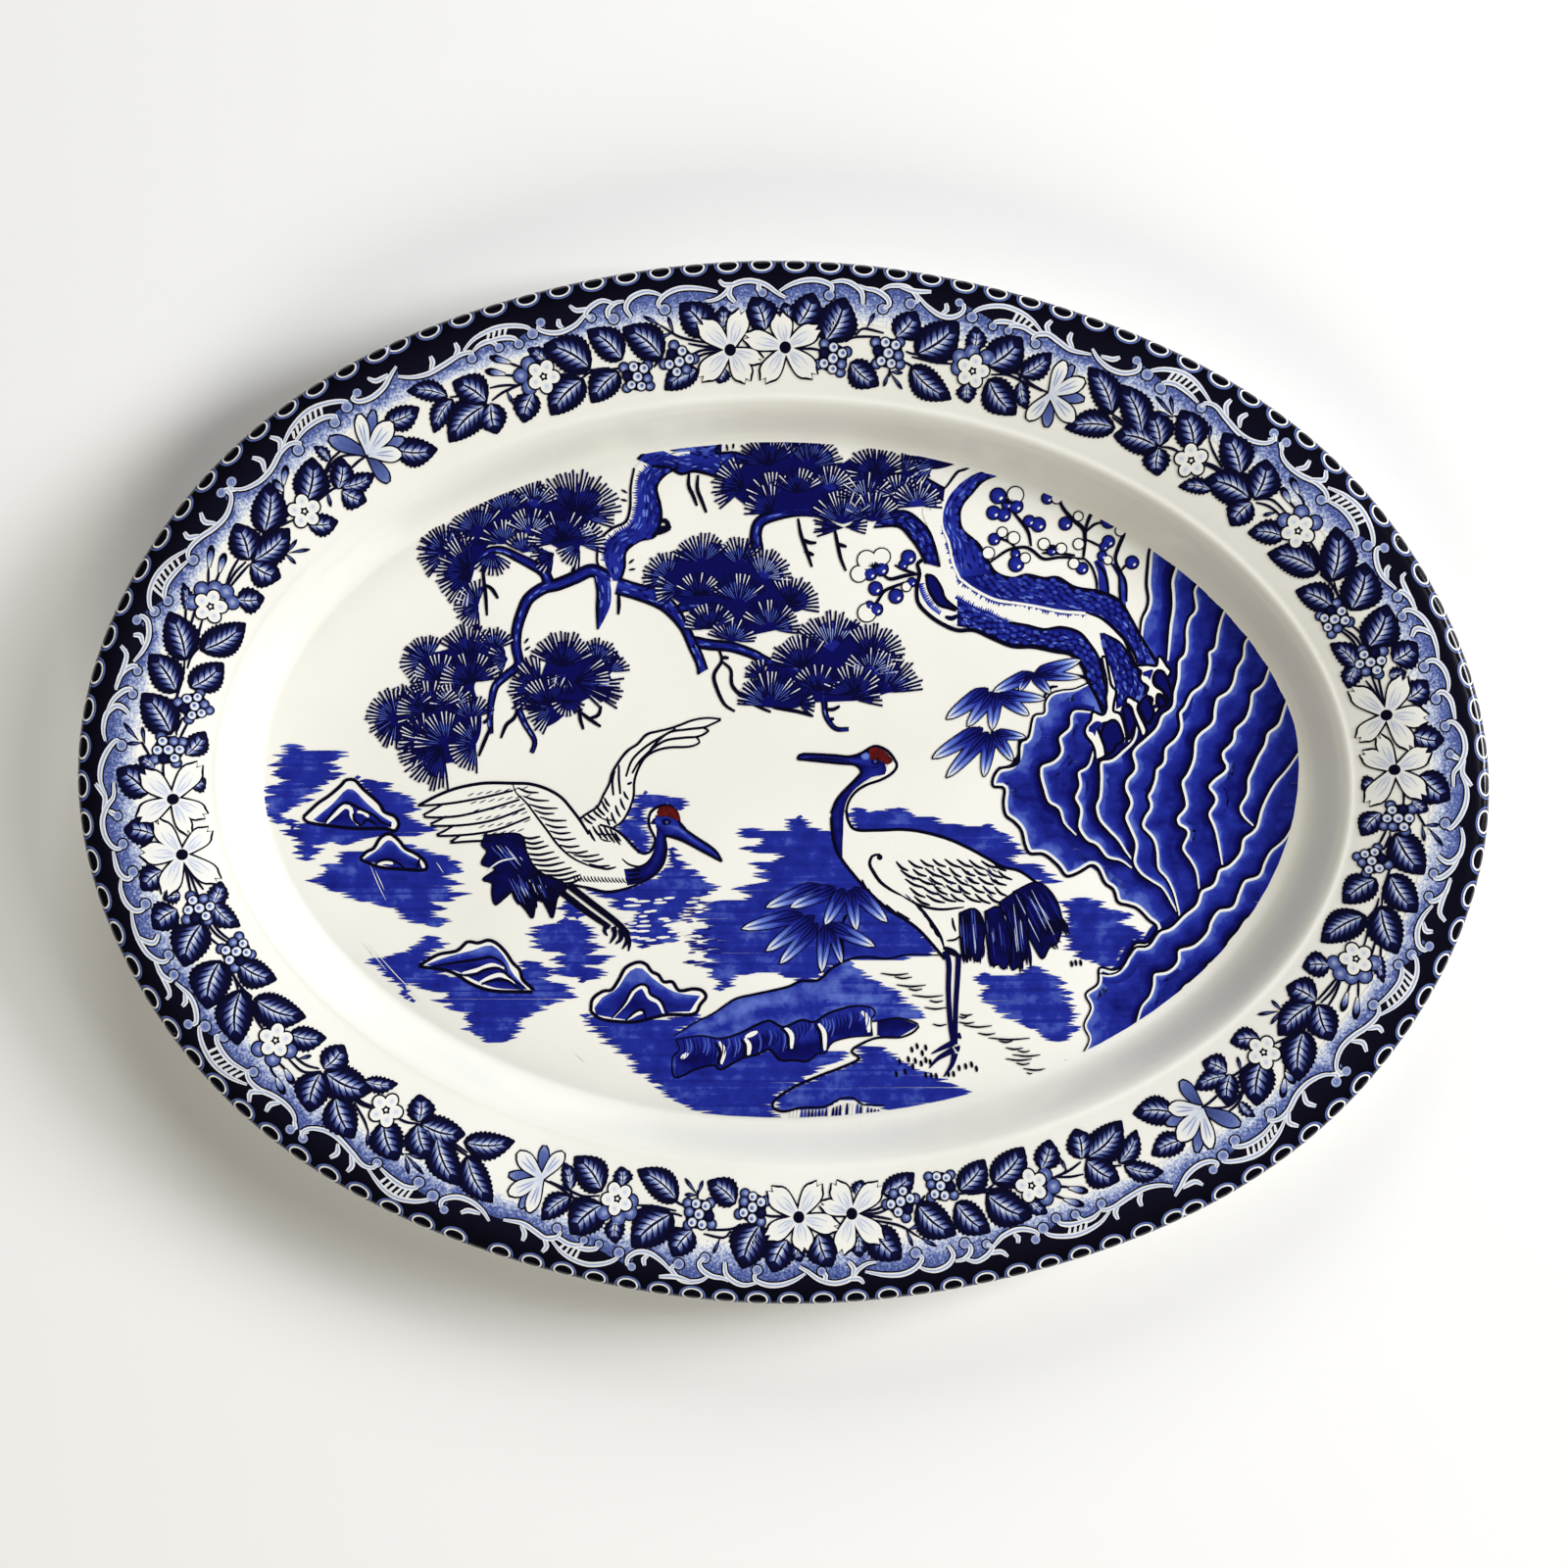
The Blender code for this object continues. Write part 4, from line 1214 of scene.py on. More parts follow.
sheet(TINTS, BANK_FOOT, CLIFF_FOOT, (0.34, 0.42, 0.2, 0.26), 60)
pen(BANK_TOP, 0.8)
pen(BANK_FOOT + xy("26.4,-66.6 25.2,-68.5 25.7,-73"), 0.75)
pen(xy("-31,-74 -30,-77 -32,-79.5 -31.2,-85") + CLIFF_FOOT[1:], 0.75)
for x in range(-29, 25):
    top = -73.5 + 8.5 * min(max((x + 12) / 36, 0), 1) + chance.uniform(-0.8, 0.4)
    drop = chance.uniform(2.5, 6.5)
    pen(((x, top), (x + 0.5, top - drop / 2), (x - 0.2, top - drop)), 0.4,
        chance.choice((0.1, 0.1, 0.62)), MARKS)
for cleft in table("""-19.7,-75 -18.3,-77.5 -19,-81.5 / -12.3,-74 -11,-76 -11.2,-79.3 /
        -0.8,-70.8 1.2,-73 1.2,-77 / 9,-69.8 10.6,-72.5 10.8,-77.5"""):
    pen(cleft, 1.0)
    pen([(x + 1.1, y + 0.3) for x, y in cleft], 1.3, 1.0, MARKS)
for *gleam, width in table("""-11,-73.4 -7.5,-71.8 1.4 / 22.5,-66 24.2,-68 24.6,-72 1.5 /
        -29.5,-79.5 -27.5,-78 1.4"""):
    pen(gleam, width, 1.0, MARKS)
sheet(TINTS, xy("27,-68.8 33,-68.1 38.3,-69.8"), xy("27,-72.8 32,-73.7 38.3,-70.5"), (0.14, 0.26), 12)
pen(xy("""25.5,-69 33,-67.9 38.6,-69.6 38,-71.5 34,-73.4 27,-73.6 22,-75.6 19.6,-77.6 21.8,-79.6 17,-82
    10,-84.7 3,-87.8 -2.3,-91.4 -3,-93.6 0,-94.8 5,-93.8 12,-93.4 16,-91.3 20,-90.9 23,-92.8 29,-93"""),
    0.85)
wash(GROUNDS, xy("""-3,-93 -2,-91 3,-87.5 10,-84.5 17,-82 22,-79.7 20,-77.8 23,-75.8 28,-76 33,-78.5
    36,-81 42,-84 48,-86 52,-88.5 56,-90 45,-93 36,-95 29,-96 27,-93.3 23,-93.3 20,-91.3 16,-91.8
    12,-93.8 5,-93.9 0,-95"""), 0.5, jag=0.9)
for x in range(2, 29):
    pen(((x, -97.5), (x + 0.4, -94.3 + 2 * math.exp(-((x - 19) / 5) ** 2))), 0.8,
        chance.choice((0.15, 0.5, 1.0)), TINTS)
for left, right, y in table("""28 36 -55.2 / 32 37 -56.2 / 32.5 41 -58.5 / 36 40 -59.6 / 37 46 -61.5 /
        42 46 -63 / 40.5 47 -65 / 43 47 -69.8 / 50.5 55 -69.2 / 52 60 -70.2 / 56 61 -72.4 /
        59 71 -73.8 / 62 66 -74.6 / 66 74 -78.6 / 64 69 -76.6 / 67.5 71 -77.4 / 64 71.5 -79.8 /
        67 71 -81 / 69 76 -82.6 / 70 74.5 -83.8 / 50.8 54.5 -66.9 / 50.5 53 -67.6"""):
    pen(((left, y + 0.2), ((left + right) / 2, y - 0.3), (right, y + 0.1)), 0.6)
for x, y in xy("""37,-77 38.5,-76 40,-78 41,-76.4 33.5,-80.5 36,-79.8 38,-80.2 39.7,-81 41,-80
        42.3,-80.6 32.5,-84 35,-83.3 37.3,-81.8 41,-84.3 42.6,-84.5 44,-84.6 47.5,-84 49,-84 50.6,-82.3
        52.5,-81.8 54.2,-81.3 55.6,-82.5 83,-52.3 84.2,-52 85.6,-52 80,-81.6 81.5,-80.8"""):
    pen(((x - 0.2, y + 0.9), (x, y), (x + 0.15, y - 0.9)), 0.95)
print("bank drawn")

# %% Island rocks
def rock(outline, fill, ridges, rims):
    """A rock in the water: a white edge, shaded faces and near-black outlines."""
    solid(BLANKS, outline, 1.0)
    for upper, lower in fill:
        sheet(TINTS, upper, lower, (0.62, 0.42, 0.26, 0.4), 20)
    for rim in rims:
        pen(rim, 1.2, 1.0, MARKS)
    for ridge in ridges:
        pen(ridge, 0.85)
    pen(outline + outline[:1], 1.05, ends=0.9)


rock(xy("""-138.3,-10 -134,-6 -131,-4 -127.5,-1 -126,0.6 -123.5,0.6 -121,-2 -116.5,-6 -115,-8.5
    -112,-9.8 -110.8,-12 -112,-14 -115,-13.3 -123,-13.3 -131,-12.5 -137,-11.5"""),
    [table("""-135.5,-10.8 -130,-6.3 -125,-1.8 -120,-6 -116,-9.5 -112.8,-11.5 /
    -134,-11.5 -128,-12.5 -122,-12.9 -116,-12.8 -113,-13""")], table("""-132,-11.8 -130,-8.6 -127,-6
    -125,-6 -122,-7.6 -118,-9.5 -115.5,-11.6 -113,-12.5 / -124,-9 -123.5,-11 -121.5,-12.6 /
    -121.6,-12.6 -120,-10.8 -117,-12.3"""), table("""-131.6,-11.8 -129,-9.3 -126.4,-7 -124.6,-7.8
    -124.3,-10 -122.5,-12.3 / -122.8,-8.6 -121,-8.6 -119.5,-10"""))
rock(xy("""-122,-22 -120,-20 -118,-19 -116.5,-16.5 -115,-15.2 -113,-15 -110.5,-17 -109,-19 -106,-20.5
    -103.5,-22.5 -102.7,-24.5 -104,-25.3 -110,-25 -116,-24.5 -120,-23"""),
    [table("""-120.8,-22 -117,-19.5 -113.5,-16.6 -109.5,-20 -105,-22.4 /
    -119.5,-22.8 -115,-24 -110,-24.6 -104,-24.8""")], table("""-118,-24.3 -116.5,-22.8 -114,-22.3
    -111,-23.2 -109,-25 / -104.8,-22 -105.5,-24.6"""), [xy("-117,-24 -115,-23 -112.5,-23.4")])
rock(xy("""-105,-53 -102,-51 -99,-49.5 -94,-48.5 -91,-46 -88,-46.3 -85,-45.5 -82.5,-46.5 -80,-49 -78,-52
    -76,-54 -75,-57 -72,-60 -76,-60.3 -84,-60 -90,-58 -96,-54.5"""),
    [table("""-103,-52.5 -97,-50.3 -90,-48.5 -84,-47 -80,-51 -78,-55 -74,-59.4 /
    -100,-53.5 -94,-54.5 -89,-57 -83,-59.2 -75,-59.8""")], table("""-95,-55 -90,-55.7 -86,-54 -82,-53.6
    -79,-56 -74,-59.6 / -101,-52.9 -95,-52 -88,-51 -84,-50.4 -80.5,-52.5 -79.5,-55 /
    -87,-58.3 -84.5,-57.3 -80,-57 -76,-59.5"""),
    table("-92.5,-55 -88,-54 -84,-52.6 -80.5,-53.6 / -87.5,-57.6 -84,-56 -81,-55.6 -77.5,-58"))
rock(xy("""-55.5,-66 -55,-62.5 -52,-60.2 -49.5,-59.8 -47.5,-57 -45.5,-53.5 -42,-51.8 -39.5,-52.5
    -38,-54.5 -36,-55.5 -34.5,-57.5 -32,-57.5 -30,-60 -26,-59.5 -23.5,-60 -22.3,-61.8 -24,-64 -26,-66.8
    -34,-67 -43,-69 -52,-68.3"""), [table("""-54.5,-65 -52,-61.8 -48,-59.5 -44.5,-54.6 -41,-53.5 -37,-57
    -31,-60.5 -24,-61.5 / -54,-67 -48,-68 -42,-68.5 -34,-66.5 -27,-66""")],
    table("""-49.5,-68 -46,-64 -43.8,-60 -41,-58.2 -39,-59 -38.4,-61 -35.5,-62.6 -34,-65.5 -33,-67 /
    -45.5,-68.6 -42.5,-66 -40.3,-65.6 -39.6,-68.4"""), table("""-49,-67.6 -45.4,-63.6 -43,-60
    -40.8,-58.9 -39.7,-60 -38.6,-62 -36,-63.6 -34.4,-67 / -44.8,-68.2 -42.3,-66.6 -40.6,-66.4"""))
print("rocks drawn")

# %% The ridged crag
CRAG_SIDE = xy("""106,76 106,70 105.2,66 104.8,62 104.5,57 105,53 104.5,50 103,46.5 102.6,40 104,33
    99,21 92,21 88.5,29 84,27 80,26.5 77,25.5 75.3,23 75,20 72,19 70.5,13 68.3,11.5 67.5,7.5 65.5,4.8
    62,3.8 60.3,1 60.5,-1.2 63.5,-1.8 63.3,-6 64,-9.5 66.5,-11.5 68.5,-14 69.5,-18 71,-20.5 75,-20.8
    79,-24 81.5,-27 85,-26 88.5,-24 90.5,-25 92.5,-29 95,-31 96.3,-34.5 99.5,-35.5 102,-36.5 105,-39.5
    107.5,-42 104.8,-46 101.5,-46.3 99.5,-49 98,-52.5 95,-54 91,-53.5 90.5,-58 87,-61 88.5,-65 86.5,-70
    88,-74 86.3,-78""")
RIDGES = table("""89.5,20.5 84,21 82.3,19 82,16 79,13 79.5,9 77.5,6.5 74,5 73.5,2 74.5,-2 76,-6 79,-8
    80.5,-12 84,-15.5 / 89,9.5 87.4,5 84.5,3 84.8,-1 83.5,-4.5 85,-8 84.5,-13 87,-17 90,-18.5 93,-22
    97,-23 100,-25 / 101.5,16.5 100.5,12.5 97.5,9.5 94.5,7 91,6 90.8,1 90.5,-4 89.5,-7 90.5,-11 93,-14
    96,-17 98,-20 100,-22.5 / 117.8,68 118.4,62 119,58 117.8,55 118.3,50 116.5,47.5 115.5,44 115.5,40
    115,37 113.3,35 113,30 112,26 111.5,22 108.5,19.5 107,16 104,13 101,10.3 100,8 100.8,4 98.5,1 98,-2
    99.5,-6 98,-10 99.5,-14 101,-18 100.5,-23 102.5,-26.5 106,-29 109,-31 112,-36 114,-39 /
    113.6,71 114,66 112.5,62 111.3,58 111.5,54 111.5,50 110.8,45 110.5,40 110.3,35 /
    128.2,57 127,51 125.5,47 124.5,43 123.8,39 122,37.5 122,34 120.5,29 117,26 115,22 113.5,20 113.8,16
    112.5,13 109.5,10 109,6 107,4 106.5,1 105.5,-2 104.5,-4 105.2,-7 103.5,-10 103,-13 106,-16.5 107,-20
    107.5,-25 110,-28 112,-32 113.6,-38 / 135.5,47.5 134,43 132.3,40 131.8,36 130,33 129,29 127.5,26.5
    124.5,24.5 123.5,21 123,17.5 119.5,14.5 118,12 117.5,7 116,3 114.2,0 115,-4 115.3,-7 113,-10
    113.5,-12.5 116,-14.5 114.5,-19 117,-23 118.5,-26 119.3,-31 / 141,38 139,32 137.5,28.5 134.5,26
    133.8,22 132.5,18.5 129.5,15.5 128.8,12 126,9 126,6.5 127,4 123.5,1 122,-1.5 124,-5 122,-9 123.5,-13
    124.5,-16.5 126,-24 / 145.5,27 143.5,21 142,17 139,14.5 138,11 136,7.5 134.5,4 133.2,1 133,-3 131,-7
    132,-10 135,-12.8 / 149.5,11 145,4.5 141.5,0.5 139,-3.5 137,-8 135.5,-13 132,-16 131,-20 128,-23.5
    125,-25 123.5,-29 120,-31 118.5,-35 115,-38 111.5,-41.5 108,-43 105,-47 101.5,-47.5 99.5,-50 97,-54
    94,-55.3 91,-55 / 147.5,-10 144,-16 140,-19.5 138,-23 136.5,-26.5 132.5,-28 130.5,-32 129,-35.5
    125,-36.5 122.5,-40 121.5,-43 118,-46.5 113.5,-48 113,-51.5 110.5,-54 106.5,-55 106,-58.5 105,-61.5
    102.5,-65 100.5,-73 / 141,-32 137.5,-36.5 133,-39 130.5,-42.5 127.5,-46 126.5,-49.5 122,-52
    120.5,-55.5 115,-58.5 113,-64""")
wash(GROUNDS, CRAG_SIDE + xy("100,-84 160,-60 160,80"), 0.36, jag=0.15, spread=0.04)
band(TINTS, CRAG_SIDE, 0.4, 6.5, (0.66, 0.52, 0.4))
for ridge in RIDGES:
    band(TINTS, ridge, 0.5, 6.0, (0.68, 0.58, 0.46, 0.38, 0.34), taper=0.7)
    band(TINTS, ridge, -2.6, 0.5, (0.36, 0.2, 0.1), taper=0.5)
for ridge in RIDGES + [CRAG_SIDE[:9], CRAG_SIDE[12:]]:
    band(MARKS, ridge, 0.25, 1.35, (1.0, 1.0, 0.86), taper=0.5)
    pen(ridge, 1.0)
print("ridges:", len(RIDGES))

# %% [markdown]
# ## Pine, plum and bamboo
# A pine's needles stand in fans on their twigs. Each fan here is a dark wedge of a disc with needles
# laid over it, pale between them where the light falls. The bark is a dark ground with blue scales.

# %% Trunks with bark
BARK_TONES = (0.12, 0.16, 0.28, 0.3, 0.62, 0.74)
BARK_STEP = 2.1
SCALE_WIDTH = 1.85


def trunk(one, other, tones, scaled=None, outline=True):
    """A limb between its two edges. scaled says which part of its width, if any, is scaly."""
    sheet(TINTS, one, other, tones, 30)
    steps = max(6, round(sum((Vector(b) - Vector(a)).length for a, b in zip(one, one[1:])) / BARK_STEP))
    left, right = even_path(one, steps), even_path(other, steps)
    for k in range(steps - 1):
        for _ in range(round((left[k] - right[k]).length * 0.7)):
            v = chance.uniform(0.04, 0.96)
            start = left[k].lerp(right[k], v)
            end = left[k + 1].lerp(right[k + 1], v + chance.uniform(-0.06, 0.06))
            pen((start, end), chance.uniform(0.35, 0.7), chance.choice(BARK_TONES), MARKS)
    if scaled:
        low, high = scaled
        for k in range(1, steps):
            run = (left[k] + right[k] - left[k - 1] - right[k - 1]).normalized()
            width = (right[k] - left[k]).length * (high - low)
            count = max(1, round(width / SCALE_WIDTH))
            for n in range(count):
                v = low + (high - low) * (n + (0.7 if k % 2 else 0.3)) / count
                place = left[k].lerp(right[k], min(v, high))
                tone = 0.5 + chance.uniform(-0.1, 0.12)
                disc(LINES, place, 0.95, (tone, tone - 0.1), squash=0.68, turn=math.atan2(run.y, run.x),
                    sides=7)
    if outline:
        pen(one, 0.9, ends=0.8)
        pen(other, 0.9, ends=0.8)


def limb(points, widths, tones=(0.2, 0.46, 0.3)):
    """A branch along its middle: a near-black line with blue in it."""
    line(TINTS, points, widths, tone=0.0, grow=0.45)
    line(MARKS, points, [w * 0.62 for w in widths], tones=tones)
    path = smooth_path(points, 2.4)
    for start, end in zip(path, path[1:]):
        shift = Vector((chance.uniform(-0.3, 0.3), chance.uniform(-0.3, 0.3))) * widths[1]
        pen((start + shift, end + shift * 0.7), 0.45, chance.choice(BARK_TONES), LINES)


def bristles(points, reach, tone=0.42, pitch=0.75):
    """Ragged brush ends along an edge, off its left hand."""
    path = smooth_path(points, pitch)
    for k, place in enumerate(path):
        side = side_of(path, k)
        out = side * reach * chance.uniform(0.35, 1)
        line(TINTS, (place - side * 0.8, place + out), (0.9, 0.6, 0.15), tone=tone)


WHITE_TRUNK = xy("-43,90.5 -44,85 -44.2,79 -45.5,75 -49.5,73 -53,69.5 -53.7,64 -53,62")
BLUE_EDGE = xy("-38,92 -41.5,88 -42,84 -42.3,79 -43.8,74.5 -47.5,72 -51,69 -51.7,64 -49,58")
DARK_EDGE = xy("""-30.5,90.6 -34.3,88.4 -36.6,85 -35.6,80 -35.3,76 -37,71 -41.5,69.6 -45.4,66.5 -45.8,62
    -47,58""")
solid(BLANKS, WHITE_TRUNK + xy("-40,70 -37,80 -33,90 -38,95"), 1.0)
trunk(BLUE_EDGE, DARK_EDGE, (0.5, 0.42, 0.34, 0.2), scaled=(0.62, 0.95), outline=False)
bristles(BLUE_EDGE[:8][::-1], 1.6)
pen(WHITE_TRUNK, 0.85, ends=0.8)
pen(DARK_EDGE, 0.95, ends=0.8)
for stub in table("-36,75 -34,75.3 -32.5,73 / -38,71.3 -35,72.2 -32.6,73 / -36,73.3 -33,73.2"):
    pen(stub, 1.5)
trunk(xy("-42,93 -37,98 -31,99.3 -24,99 -20,99.8 -17.5,99 -19.5,95 -14,95 -10,93.6"),
    xy("-38,91 -33,90.5 -29.5,88.8 -26,89.6 -22.5,89 -19,88 -16.5,88 -13,91.5 -10,93.2"),
    (0.4, 0.5, 0.36, 0.3))
pen(xy("-30,96.5 -27,98.3 -23,98"), 1.4, 0.05)
pen(xy("-35,96 -30.5,94.6 -27,95"), 1.3, 1.0, MARKS)
for place, angle in table("""-45,81 2.9 / -45,83.3 2.6 / -40.5,94.6 2.7 / -39,95.8 2.3 /
        -44.5,61.2 0.1 / -44.5,63 0.7 / -61,60 1.4 / -60,60.3 1.8 / -16,95.5 1.8 / -14.5,96 1.5 /
        -18,95.2 2.0 / -74.5,38 0.6 / -74.6,40 0.9"""):
    tuft = Vector(place)
    pen((tuft, tuft + heading(angle) * 1.9), 0.75)
for *points, widths in table("""-50,58.5 -55,61 -60,59 -65,57 -69,56 -73.3,53 -75.3,49 -76.8,44 -77,39
        -76.3,34 -79.5,31 -82.8,28 -84,24 -84.5,20 -84.3,14 3.2,2.4,0.7 /
        -67.5,57 -69,60.5 -73,63 -77,65 -81,66.8 -85,66.6 -88,64 -90.3,60.6 2.6,1.7,0.7 /
        -76.5,35 -73,31.5 -69,29.5 -64,29 2.2,1.4,0.6 / -74,32 -76,27 -76.5,22 -74.5,17 -71.7,12
        -72.5,8.5 1.6,1.2,0.5"""):
    limb(points, widths)
trunk(xy("-54.5,59.5 -53.6,55 -53.7,50 -53.6,44"), xy("-50,58 -49.6,54 -50.2,50 -53.2,44"),
    (0.2, 0.4, 0.5), outline=False)
pen(xy("-54.5,59.5 -53.6,55 -53.7,50 -53.6,44"), 0.9)
trunk(xy("-47.5,58.8 -42,57 -36,55.6 -31,51 -28,46 -25.5,41 -23.2,36 -22,32.5"),
    xy("-48.5,54.5 -43,53 -37,50.8 -33.5,48.5 -29.5,44 -27,38.5 -25,34 -24.5,31"), (0.25, 0.5, 0.36, 0.2))
limb(xy("-26,40.5 -21,39.6 -15,39 -9,37 -4,34.5 2,33 7,31 10.5,28 11.6,24 12.3,19 15,15.5 18.8,15.3"),
    (2.6, 1.7, 0.4))
limb(xy("-31.5,49.5 -27,50.6 -21,50 -17,47.5 -12,45"), (2, 1.6, 0.8), (0.3, 0.5, 0.4))
limb(xy("12,77.3 5,78 -1,77.2 -6.5,75.2 -8,71.5 -7.5,67"), (1.6, 2.4, 2.8))
for twig in table("""-86.5,64 -86.4,59 -85.8,54 -85.4,48 / -86.2,57 -84,55.7 -82.2,52.9 /
        -47.5,54.5 -47.4,51 -47.6,48.3 / -18.7,38.6 -17.8,35 -20,31 -19.2,27 -17,22.5 -14,20.4 /
        -18,35 -15.2,32.4 -14.8,28 -11.5,24.4 -7,21.7 -3.6,20.2 / -18,36 -15.7,35.8 /
        -27.2,89 -27.3,85.5 -26,82.5 -24.9,79.6 / -24.6,88.5 -24.8,84.5 -23.3,80.5 -22.2,77.6 /
        4.2,76 5,71.5 6.5,67 8.2,62 / 5.6,70 7.6,69 9.5,69 / 6,66.6 8.8,65.4 /
        14.5,74 15.5,69 16.5,64.5 18,60.8 / 15.5,68.7 18.2,67.8 / -84.3,16 -86,12 -87.8,7.5 /
        -84.5,18.5 -86.5,17 / -76.4,22 -77.5,18.6 -79.8,16.5 -81.4,12.7 /
        -58.8,22 -58.6,18.5 -57.6,15.2 / -58.8,20.5 -56,18.3 -52.6,16 / -56,18.4 -53.4,19.3 -52.5,22 /
        12,21 14.5,21 16.2,22 / 13,18 14.6,18.3 / -3,21.5 4,20.4 8.6,19"""):
    pen(twig, 1.15, ends=0.6)
print("pine limbs drawn")

# %% The old trunk on the right
SCALY = (0.12, 0.16, 0.14, 0.1)
trunk(xy("26,73.5 33,73.7 36.5,70.5 39,67 41,63"), xy("28,77.5 35,78 39.5,75 42.5,71 45,62"), SCALY,
    scaled=(0.1, 0.95))
trunk(xy("30,88.5 38,89.3 42,87 46.5,84.5"), xy("33,84 39,84 43,83.5 46,81"), SCALY, scaled=(0.1, 0.9))
solid(BLANKS, xy("""56,91.7 50,89.3 46.5,85 43,79 40,78 44,68 45,62 38.7,63 39,60 38.5,56 39,51 45,46
    52,46 60,48 75,43.5 88,40 93,30 95,20 88,14 90,9 93,14 98,22 108,33 112,34 104,30 100,40 92,50 70,52
    56,58 50,70 50,85"""), 1.0)
OLD_INNER = xy("""59,90.5 53,87.5 48.5,83.5 46.3,79 46,74 48,69 49.3,63 51,59 55,56 61,53 67,52 73,51
    80,49.6 87,49 92,47 97,42.5 100.5,38 102,34""")
OLD_OUTER = xy("""62.5,89 57.5,87 54,83.3 51.3,80 50.5,76.5 51.5,72.5 56,68.5 58,65 61,60.3 66,58.6
    70,59.6 75,58.6 79,58.8 84,56 91,54.8 96.5,52.3 100,47 103,41.5 107.5,34.5""")
trunk(OLD_INNER[:8], OLD_OUTER[:9], (0.52, 0.46, 0.4, 0.14), scaled=(0.72, 0.95), outline=False)
trunk(OLD_INNER[7:], OLD_OUTER[8:], (0.42, 0.2, 0.12, 0.1), scaled=(0.22, 0.95), outline=False)
bristles(OLD_INNER[4:8], -1.8, 0.46)
bristles(OLD_INNER[7:14], -2.2, 0.42)
pen(OLD_OUTER, 1.2, ends=0.9)
pen(OLD_INNER[13:], 1.1)
pen(xy("56,91.7 52,90 50,89.2 47,85.2 45.5,84"), 0.8)
trunk(xy("50,53.5 55,50.6 60,48.6 65,46 70,45.2 75,44 80,44.6 85,43 88,40 90.8,35.5 92.2,29 93,22"),
    xy("50,45 55,44 60,41.8 66,39.5 72,39.3 78,38 83,37 86,33.5 87.8,29 90.5,24 92,20"),
    (0.3, 0.16, 0.12, 0.1), scaled=(0.1, 0.92), outline=False)
bristles(xy("50,53.5 55,50.6 60,48.6 65,46"), 1.2, 0.42)
pen(xy("65,46 70,45.2 75,44 80,44.6 85,43.2 88,40 90.8,35.5 92.2,29 93.8,23.5"), 0.95, ends=0.8)
pen(xy("""40,64 38.6,62.8 39.2,60 38.4,56 38.7,52 41,49 45,46 50,43.8 55,43.8 60,41.6 66,39.2 72,39
    78,37.8 83,36.8 86,33.5 87.8,29 90.5,24 92,20"""), 1.25, ends=0.9)
trunk(xy("91,43 92,38 94,33 95.5,27 95.8,21"), xy("92,43 97,40 101,34 104,28 103,24.5"),
    (0.14, 0.16, 0.12), scaled=(0.08, 0.95), outline=False)
pen(xy("92,43 97,40 101,34 104,28 103.5,25"), 0.9)
pen(xy("97.5,42 100,37 102,33 106,33.3 107.6,34.5"), 0.9)
FORKS = table("""91.6,36 92.2,33 93,29.5 93.1,26 92.8,24.5 93,21.5 92.3,19.6 91,19.6 89.6,20.3 88.7,19.8
    88.5,18 87.1,16.2 86.7,14.6 87.3,13 88.7,11.3 89.6,9 89.9,6.3 90.6,6.5 92.8,7.9 92.2,11 91.2,13.6
    90.6,15.6 92.2,17 94,17.3 95.2,17.8 96.4,16.8 97.4,14.2 98,12 98.8,13 98,17 97,19.6 95.8,20.2
    95,20.6 95.2,23 95.8,26.2 94.4,28 93.6,32 92.8,36 / 98.5,22.8 98.7,24.2 99.6,24.6 101,23.7 102.2,23
    102,21 103,18.6 104,16.6 104.6,15 104.2,13.6 103.2,13.4 102.4,15.4 101.6,17.4 100.8,19.4 100.4,21
    99.6,22.2 / 101.5,33 103,32 102.6,30 103.4,28.6 105,27.4 104.4,25.2 106.2,24.2 106,22 107,19.8
    108.2,21.2 107.4,23 107.8,25.4 109.2,24.8 110.4,22.8 109.4,26 107,27.8 106.4,29.5 107,31.5 108,32.2
    109.4,31.8 110.5,30.2 111.6,32 110.4,33.5 108.8,36 107.8,36 107.4,33.6 105,33.8 102.2,33.6""")
for fork in FORKS:
    solid(LINES, fork, 1.0)
    pen(fork + fork[:1], 0.9, 0.0, FANS, ends=0.9)
pen(xy("101.2,16.5 100,13.5 99.4,11.2"), 0.7, 1.0)
for patch in table("""88,16 90,17.6 92,17 91,15.5 90.4,15.8 89.6,13.2 89,14.6 87.8,14.6 /
        103.4,31.8 106.4,32.5 106,30.8 105.4,29.4 104.8,30.6 103.6,30.4"""):
    solid(FANS, patch, 0.3)
for knot in table("""41,59.8 43.3,59.2 45.4,56 46.6,52.8 50.2,49.6 47.5,50.2 44.4,51.4 41.8,55.5 /
        92.3,16.5 94.5,17.9 96,17.4 97.2,15 97.8,12 96,10.8 95,9 93,8 92.4,10.5 91.4,13.5 /
        97.6,21.6 99,22 100.2,20.4 101.4,17.4 100.4,14.5 99.6,12.5 98.9,14 98.3,17.5 /
        103.4,24 105,24.8 105.8,22.5 106.6,20 105,16.8 103.6,19 102.4,21.6 /
        107,31.2 108.2,32 109.6,31.4 110.8,29 111.6,26 111.4,22.6 109.8,25.8 107,28.6 /
        107.8,25 109,24.6 110.2,22.4 108.6,21.6 107.8,23"""):
    solid(FANS, knot, 0.2)
    pen(knot + knot[:1], 0.95, 0.0, NEEDLES, ends=0.8)
disc(FANS, (107.1, 21.9), 0.7, (0.1, 0.1), sides=8)
pen(xy("46.5,47.7 48.5,47.2 50.4,48.2"), 1.5, 0.05)
bristles(xy("39.6,57 40.5,54 42.5,51 45,49"), 1.6, 0.5)
print("old trunk drawn")

